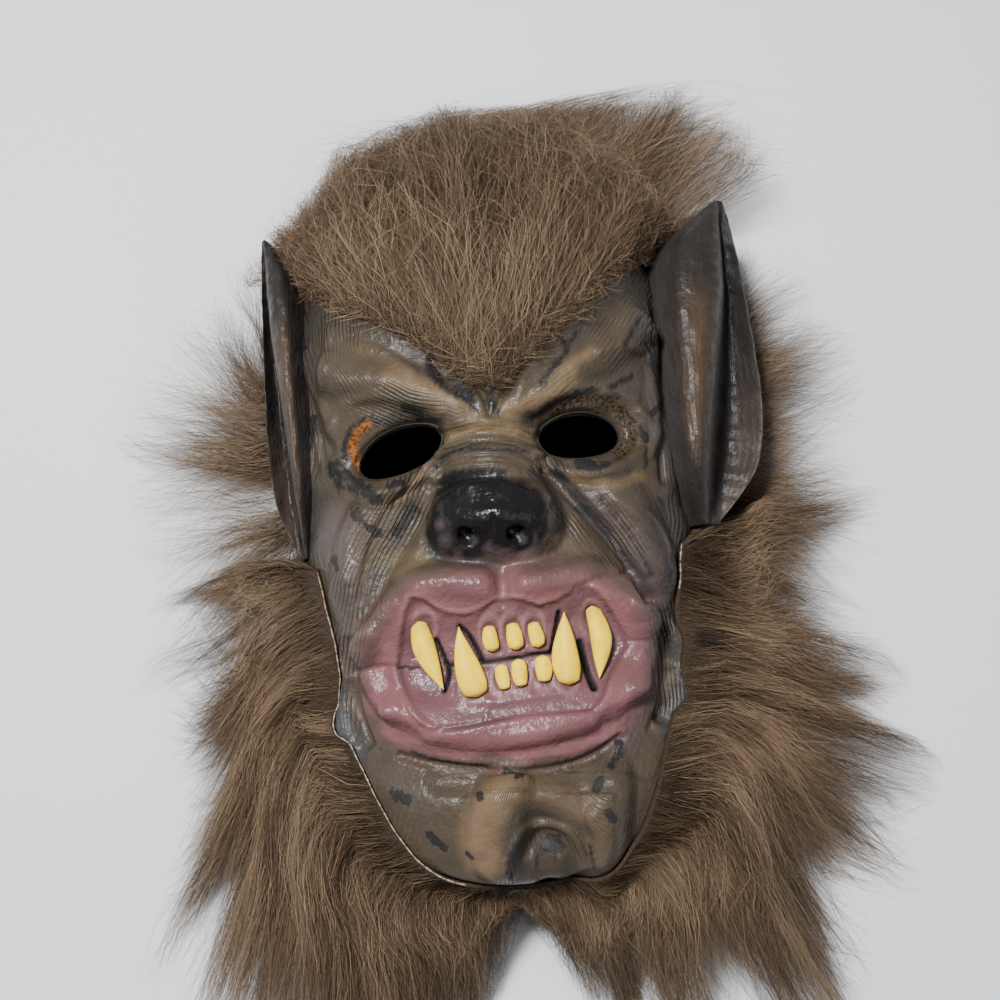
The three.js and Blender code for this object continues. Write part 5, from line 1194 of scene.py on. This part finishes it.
def newGroup(name, inputs, output):  # a shader group: a number or a colour for each input, one output
    group = bpy.data.node_groups.new(name, "ShaderNodeTree")
    for label, value in inputs.items():
        kind = "NodeSocketColor" if isinstance(value, tuple) else "NodeSocketFloat"
        group.interface.new_socket(label, in_out="INPUT", socket_type=kind).default_value = value
    kind = "NodeSocketColor" if output == "Color" else "NodeSocketFloat"
    group.interface.new_socket(output, in_out="OUTPUT", socket_type=kind)
    return group, group.nodes.new("NodeGroupInput"), group.nodes.new("NodeGroupOutput")


def useGroup(tree, group, inputs):  # a group placed with its own values
    node = tree.nodes.new("ShaderNodeGroup")
    node.node_tree = group
    for key, value in inputs.items():
        feed(tree, node.inputs[key], value)
    return node


def noise(tree, vector, scale, detail=3.0, rough=0.55):  # blotches, more to the metre as scale grows
    return put(tree, "ShaderNodeTexNoise", {"Vector": vector, "Scale": scale, "Detail": detail,
                                            "Roughness": rough}).outputs["Fac"]


def objectPlace(tree):  # places on the object, in metres
    return tree.nodes.new("ShaderNodeTexCoord").outputs["Object"]


def makeWrinkleGroup():  # ridged lines where a phase passes whole numbers, bent and broken by noise
    g, gin, gout = newGroup("wrinkles", {"Phase": 0.0, "Mask": 1.0, "Bend": 2.6}, "Height")
    place = objectPlace(g)
    bend = times(g, minus(g, noise(g, place, 34, 1), 0.5), gin.outputs["Bend"])
    phase = plus(g, gin.outputs["Phase"], bend)
    arch = math2(g, "POWER", math2(g, "ABSOLUTE", math2(g, "SINE", times(g, phase, math.pi))), 0.6)
    fine = math2(g, "ABSOLUTE", math2(g, "SINE", times(g, phase, 2.37 * math.pi)))
    finePatch = ramp(g, noise(g, place, 50, 1), 0.4, 0.65)
    both = plus(g, arch, times(g, times(g, fine, finePatch), 0.5))
    patch = plus(g, ramp(g, noise(g, place, 38, 2), 0.4, 0.66), 0.14)
    sunk = minus(g, both, 1.0)
    height = times(g, times(g, sunk, gin.outputs["Mask"]), patch)
    g.links.new(height, gout.inputs["Height"])
    return g


def makeGrimeGroup():  # a base colour with soft blotches and small specks of a darker colour
    inputs = {"Base": (1, 1, 1, 1), "Blotch": 0.3, "Speck": 0.5, "Dark": (0, 0, 0, 1)}
    g, gin, gout = newGroup("grime", inputs, "Color")
    place = objectPlace(g)
    blotch = times(g, ramp(g, noise(g, place, 55, 4), 0.4, 0.75), gin.outputs["Blotch"])
    first = mixed(g, blotch, gin.outputs["Base"], gin.outputs["Dark"])
    speck = times(g, ramp(g, noise(g, place, 900, 2, 0.4), 0.68, 0.74), gin.outputs["Speck"])
    g.links.new(mixed(g, speck, first, gin.outputs["Dark"]), gout.inputs["Color"])
    return g


def makeGrainGroup():  # fine pits and pimples as a height
    g, gin, gout = newGroup("grain", {"Scale": 600.0, "Depth": 0.2}, "Height")
    place = objectPlace(g)
    fine = noise(g, place, gin.outputs["Scale"], rough=0.5)
    g.links.new(times(g, fine, gin.outputs["Depth"]), gout.inputs["Height"])
    return g


wrinkleGroup, grimeGroup, grainGroup = makeWrinkleGroup(), makeGrimeGroup(), makeGrainGroup()


def newMaterial(name, roughness, specular):  # a Principled shader with its even values
    material = bpy.data.materials.new(name)
    material.use_nodes = True
    tree = material.node_tree
    shader = tree.nodes["Principled BSDF"]
    shader.inputs["Roughness"].default_value = roughness
    shader.inputs["Specular IOR Level"].default_value = specular
    return material, tree, shader


def attribute(tree, name, output="Fac"):  # a value or colour kept on the mesh
    return put(tree, "ShaderNodeAttribute", attribute_name=name).outputs[output]


def addBump(tree, shader, height, strength, distance):  # a height turned into the shader's normal
    bump = put(tree, "ShaderNodeBump", {"Strength": strength, "Distance": distance, "Height": height})
    tree.links.new(bump.outputs["Normal"], shader.inputs["Normal"])


def grainHeight(tree, scale, depth):  # pits and pimples of one size
    return useGroup(tree, grainGroup, {"Scale": scale, "Depth": depth}).outputs["Height"]


def grime(tree, base, blotch, speck, dark):  # the base colour soiled with a dark one
    values = {"Base": base, "Blotch": blotch, "Speck": speck, "Dark": dark}
    return useGroup(tree, grimeGroup, values).outputs["Color"]


def wrinkles(tree, name):  # lines by the attributes called namePhase and nameMask
    values = {"Phase": attribute(tree, name + "Phase"), "Mask": attribute(tree, name + "Mask")}
    return useGroup(tree, wrinkleGroup, values).outputs["Height"]


def rgba(*levels):  # a paint colour for a node
    return (*srgb(*levels), 1)


# painted latex: tones, wrinkles with painted shade in their valleys and a painted highlight on their crests,
# chips where the paint has gone, shiny lips and nose
def latexMaterial(name, full):
    material, tree, shader = newMaterial(name, 0.4, 0.22)
    place = objectPlace(tree)
    tone, flake, wet = attribute(tree, "tone", "Color"), attribute(tree, "flake"), attribute(tree, "wet")
    height = wrinkles(tree, "wave")
    if full:
        height = plus(tree, height, plus(tree, wrinkles(tree, "brow"), wrinkles(tree, "jaw")))
    soiled = grime(tree, tone, 0.3, 0.35, rgba(42, 38, 36))
    # painted shade darkens the wrinkles' valleys, and a painted highlight lightens their crests
    valley = ramp(tree, height, -0.15, -0.75)
    crest = ramp(tree, height, 0.0, 0.4)
    colour = mixed(tree, times(tree, valley, 0.75), soiled, rgba(30, 26, 23))
    colour = mixed(tree, times(tree, crest, 0.3), colour, rgba(118, 102, 86))
    ragged = plus(tree, flake, times(tree, minus(tree, noise(tree, place, 150, 6, 0.72), 0.5), 2.6))
    chip = ramp(tree, ragged, 0.66, 0.74)
    colour = mixed(tree, times(tree, chip, 0.9), colour, rgba(30, 31, 31))
    dots = ramp(tree, noise(tree, place, 620, 2, 0.6), 0.5, 0.56)
    colour = mixed(tree, times(tree, dots, attribute(tree, "speckle")), colour, rgba(26, 24, 20))
    tree.links.new(colour, shader.inputs["Base Color"])
    blotchy = ramp(tree, noise(tree, place, 120, 3), 0.3, 0.7, 0.3, 0.48)
    rough = minus(tree, blotchy, times(tree, wet, 0.12))
    rough = plus(tree, rough, times(tree, chip, 0.15))
    tree.links.new(rough, shader.inputs["Roughness"])
    total = plus(tree, times(tree, height, 0.6), grainHeight(tree, 420.0, 0.7))
    total = plus(tree, total, grainHeight(tree, 130.0, 1.4))
    total = minus(tree, total, times(tree, chip, 0.12))
    addBump(tree, shader, total, 0.9, 0.0008)
    return material


def hollowMaterial():  # bare dark latex inside
    material, tree, shader = newMaterial("latexHollow", 0.7, 0.3)
    soiled = grime(tree, rgba(44, 40, 37), 0.6, 0.4, rgba(22, 20, 19))
    tree.links.new(soiled, shader.inputs["Base Color"])
    addBump(tree, shader, grainHeight(tree, 300.0, 1.0), 0.6, 0.0005)
    return material


def toothMaterial():  # yellow paint, darker and speckled towards the gum
    material, tree, shader = newMaterial("toothPaint", 0.38, 0.14)
    place = objectPlace(tree)
    along = attribute(tree, "along")
    blotch = ramp(tree, noise(tree, place, 180, 3), 0.35, 0.7)
    colour = mixed(tree, blotch, rgba(250, 214, 34), rgba(242, 200, 26))
    root = times(tree, ramp(tree, along, 0.22, 0.0), 0.45)
    colour = mixed(tree, root, colour, rgba(170, 124, 72))
    speck = ramp(tree, noise(tree, place, 1100, 2, 0.5), 0.66, 0.72)
    patch = ramp(tree, noise(tree, place, 140, 2), 0.45, 0.6)
    colour = mixed(tree, times(tree, times(tree, speck, patch), 0.75), colour, rgba(74, 60, 44))
    tree.links.new(colour, shader.inputs["Base Color"])
    addBump(tree, shader, grainHeight(tree, 260.0, 1.0), 0.35, 0.0005)
    return material


def furMaterial():  # undercoat: streaks that run along the pile
    material, tree, shader = newMaterial("furUndercoat", 0.75, 0.25)
    vector = put(tree, "ShaderNodeCombineXYZ", {"X": times(tree, attribute(tree, "across"), 1.3),
                                                "Y": times(tree, attribute(tree, "along"), 9.0)}).outputs[0]
    streak = noise(tree, vector, 1.6, 4, 0.7)
    clump = noise(tree, vector, 0.22, 2, 0.5)
    colour = mixed(tree, ramp(tree, streak, 0.35, 0.7), rgba(44, 34, 25), rgba(96, 76, 57))
    colour = mixed(tree, times(tree, ramp(tree, clump, 0.4, 0.65), 0.5), colour, rgba(64, 50, 38))
    tree.links.new(colour, shader.inputs["Base Color"])
    addBump(tree, shader, streak, 1.0, 0.002)
    return material


def strandMaterial():  # single hairs, each with its own tone
    material, tree, shader = newMaterial("furStrand", 0.65, 0.2)
    tone = attribute(tree, "tone", "Color")
    place = objectPlace(tree)
    patch = ramp(tree, noise(tree, place, 14, 2), 0.35, 0.7)
    colour = mixed(tree, times(tree, patch, 0.25), tone, rgba(84, 64, 45))
    tree.links.new(colour, shader.inputs["Base Color"])
    return material


def strapMaterial():  # black elastic: ribs along its length and fine cross threads, their tops lightened as a painted highlight
    material, tree, shader = newMaterial("elasticWeave", 0.8, 0.3)
    rib = math2(tree, "SINE", times(tree, attribute(tree, "across"), 2 * math.pi / 1.2))
    thread = math2(tree, "SINE", times(tree, attribute(tree, "run"), 2 * math.pi / 0.8))
    height = plus(tree, rib, times(tree, times(tree, thread, rib), 0.6))
    soiled = grime(tree, rgba(34, 33, 34), 0.3, 0.2, rgba(16, 16, 17))
    # painted highlight: paler where the weave stands highest
    colour = mixed(tree, ramp(tree, height, 0.2, 1.4), soiled, rgba(52, 51, 52))
    tree.links.new(colour, shader.inputs["Base Color"])
    addBump(tree, shader, height, 0.8, 0.0003)
    return material


def backingMaterial():  # off-white woven backing, a little soiled
    material, tree, shader = newMaterial("furBacking", 0.85, 0.2)
    soiled = grime(tree, rgba(160, 148, 128), 0.7, 0.5, rgba(120, 100, 80))
    tree.links.new(soiled, shader.inputs["Base Color"])
    addBump(tree, shader, grainHeight(tree, 900.0, 1.0), 0.8, 0.0004)
    return material


def dress(pieces, material):  # gives pieces their material
    for piece in pieces:
        piece.data.materials.append(material)


hollow = hollowMaterial()
dress([latexSkin], latexMaterial("latexPaint", True))
dress(ears, latexMaterial("latexEar", False))
dress([latexInside, *eyeRims], hollow)
dress(toothPieces, toothMaterial())
dress(furPieces, furMaterial())
dress(strandPieces, strandMaterial())
dress(backing, backingMaterial())
dress([strapPiece], strapMaterial())
print("materials made")


def makeFloor():  # a plain pale floor at height zero
    mesh = bpy.data.meshes.new("floor")
    mesh.from_pydata([(-6, -6, 0), (6, -6, 0), (6, 6, 0), (-6, 6, 0)], [], [(0, 1, 2, 3)])
    floor = bpy.data.objects.new("floor", mesh)
    bpy.context.scene.collection.objects.link(floor)
    material, tree, shader = newMaterial("paleFloor", 0.6, 0.2)
    shader.inputs["Base Color"].default_value = rgba(220, 222, 225)
    mesh.materials.append(material)


def makeLight(name, place, size, power):  # a square lamp that faces the mask
    lamp = bpy.data.lights.new(name, "AREA")
    lamp.energy, lamp.size = power, size
    holder = bpy.data.objects.new(name, lamp)
    bpy.context.scene.collection.objects.link(holder)
    z = unit(np.array(place, float) - np.array([0, -0.05, 0]))
    x = unit(np.cross([0, 1, 0.01], z))
    y = np.cross(z, x)
    holder.matrix_world = Matrix([[x[i], y[i], z[i], place[i]] for i in range(3)] + [[0, 0, 0, 1]])


makeFloor()
makeLight("keyLight", (-0.3, 0.2, 1.25), 0.22, 34)
makeLight("fillLight", (0.8, -0.6, 1.2), 1.0, 6)
world = bpy.data.worlds.new("studio")
bpy.context.scene.world = world
world.use_nodes = True
world.node_tree.nodes["Background"].inputs["Color"].default_value = (0.86, 0.93, 1, 1)
world.node_tree.nodes["Background"].inputs["Strength"].default_value = 0.2

cameraData = bpy.data.cameras.new("camera")
cameraData.lens, cameraData.sensor_width = lens["focal"], lens["sensor"]
camera = bpy.data.objects.new("camera", cameraData)
bpy.context.scene.collection.objects.link(camera)
camera.matrix_world = Matrix([[cameraRight[i], cameraUp[i], backWay[i], lens["place"][i]] for i in range(3)]
                             + [[0, 0, 0, 1]])
bpy.context.scene.camera = camera

print("scene ready")
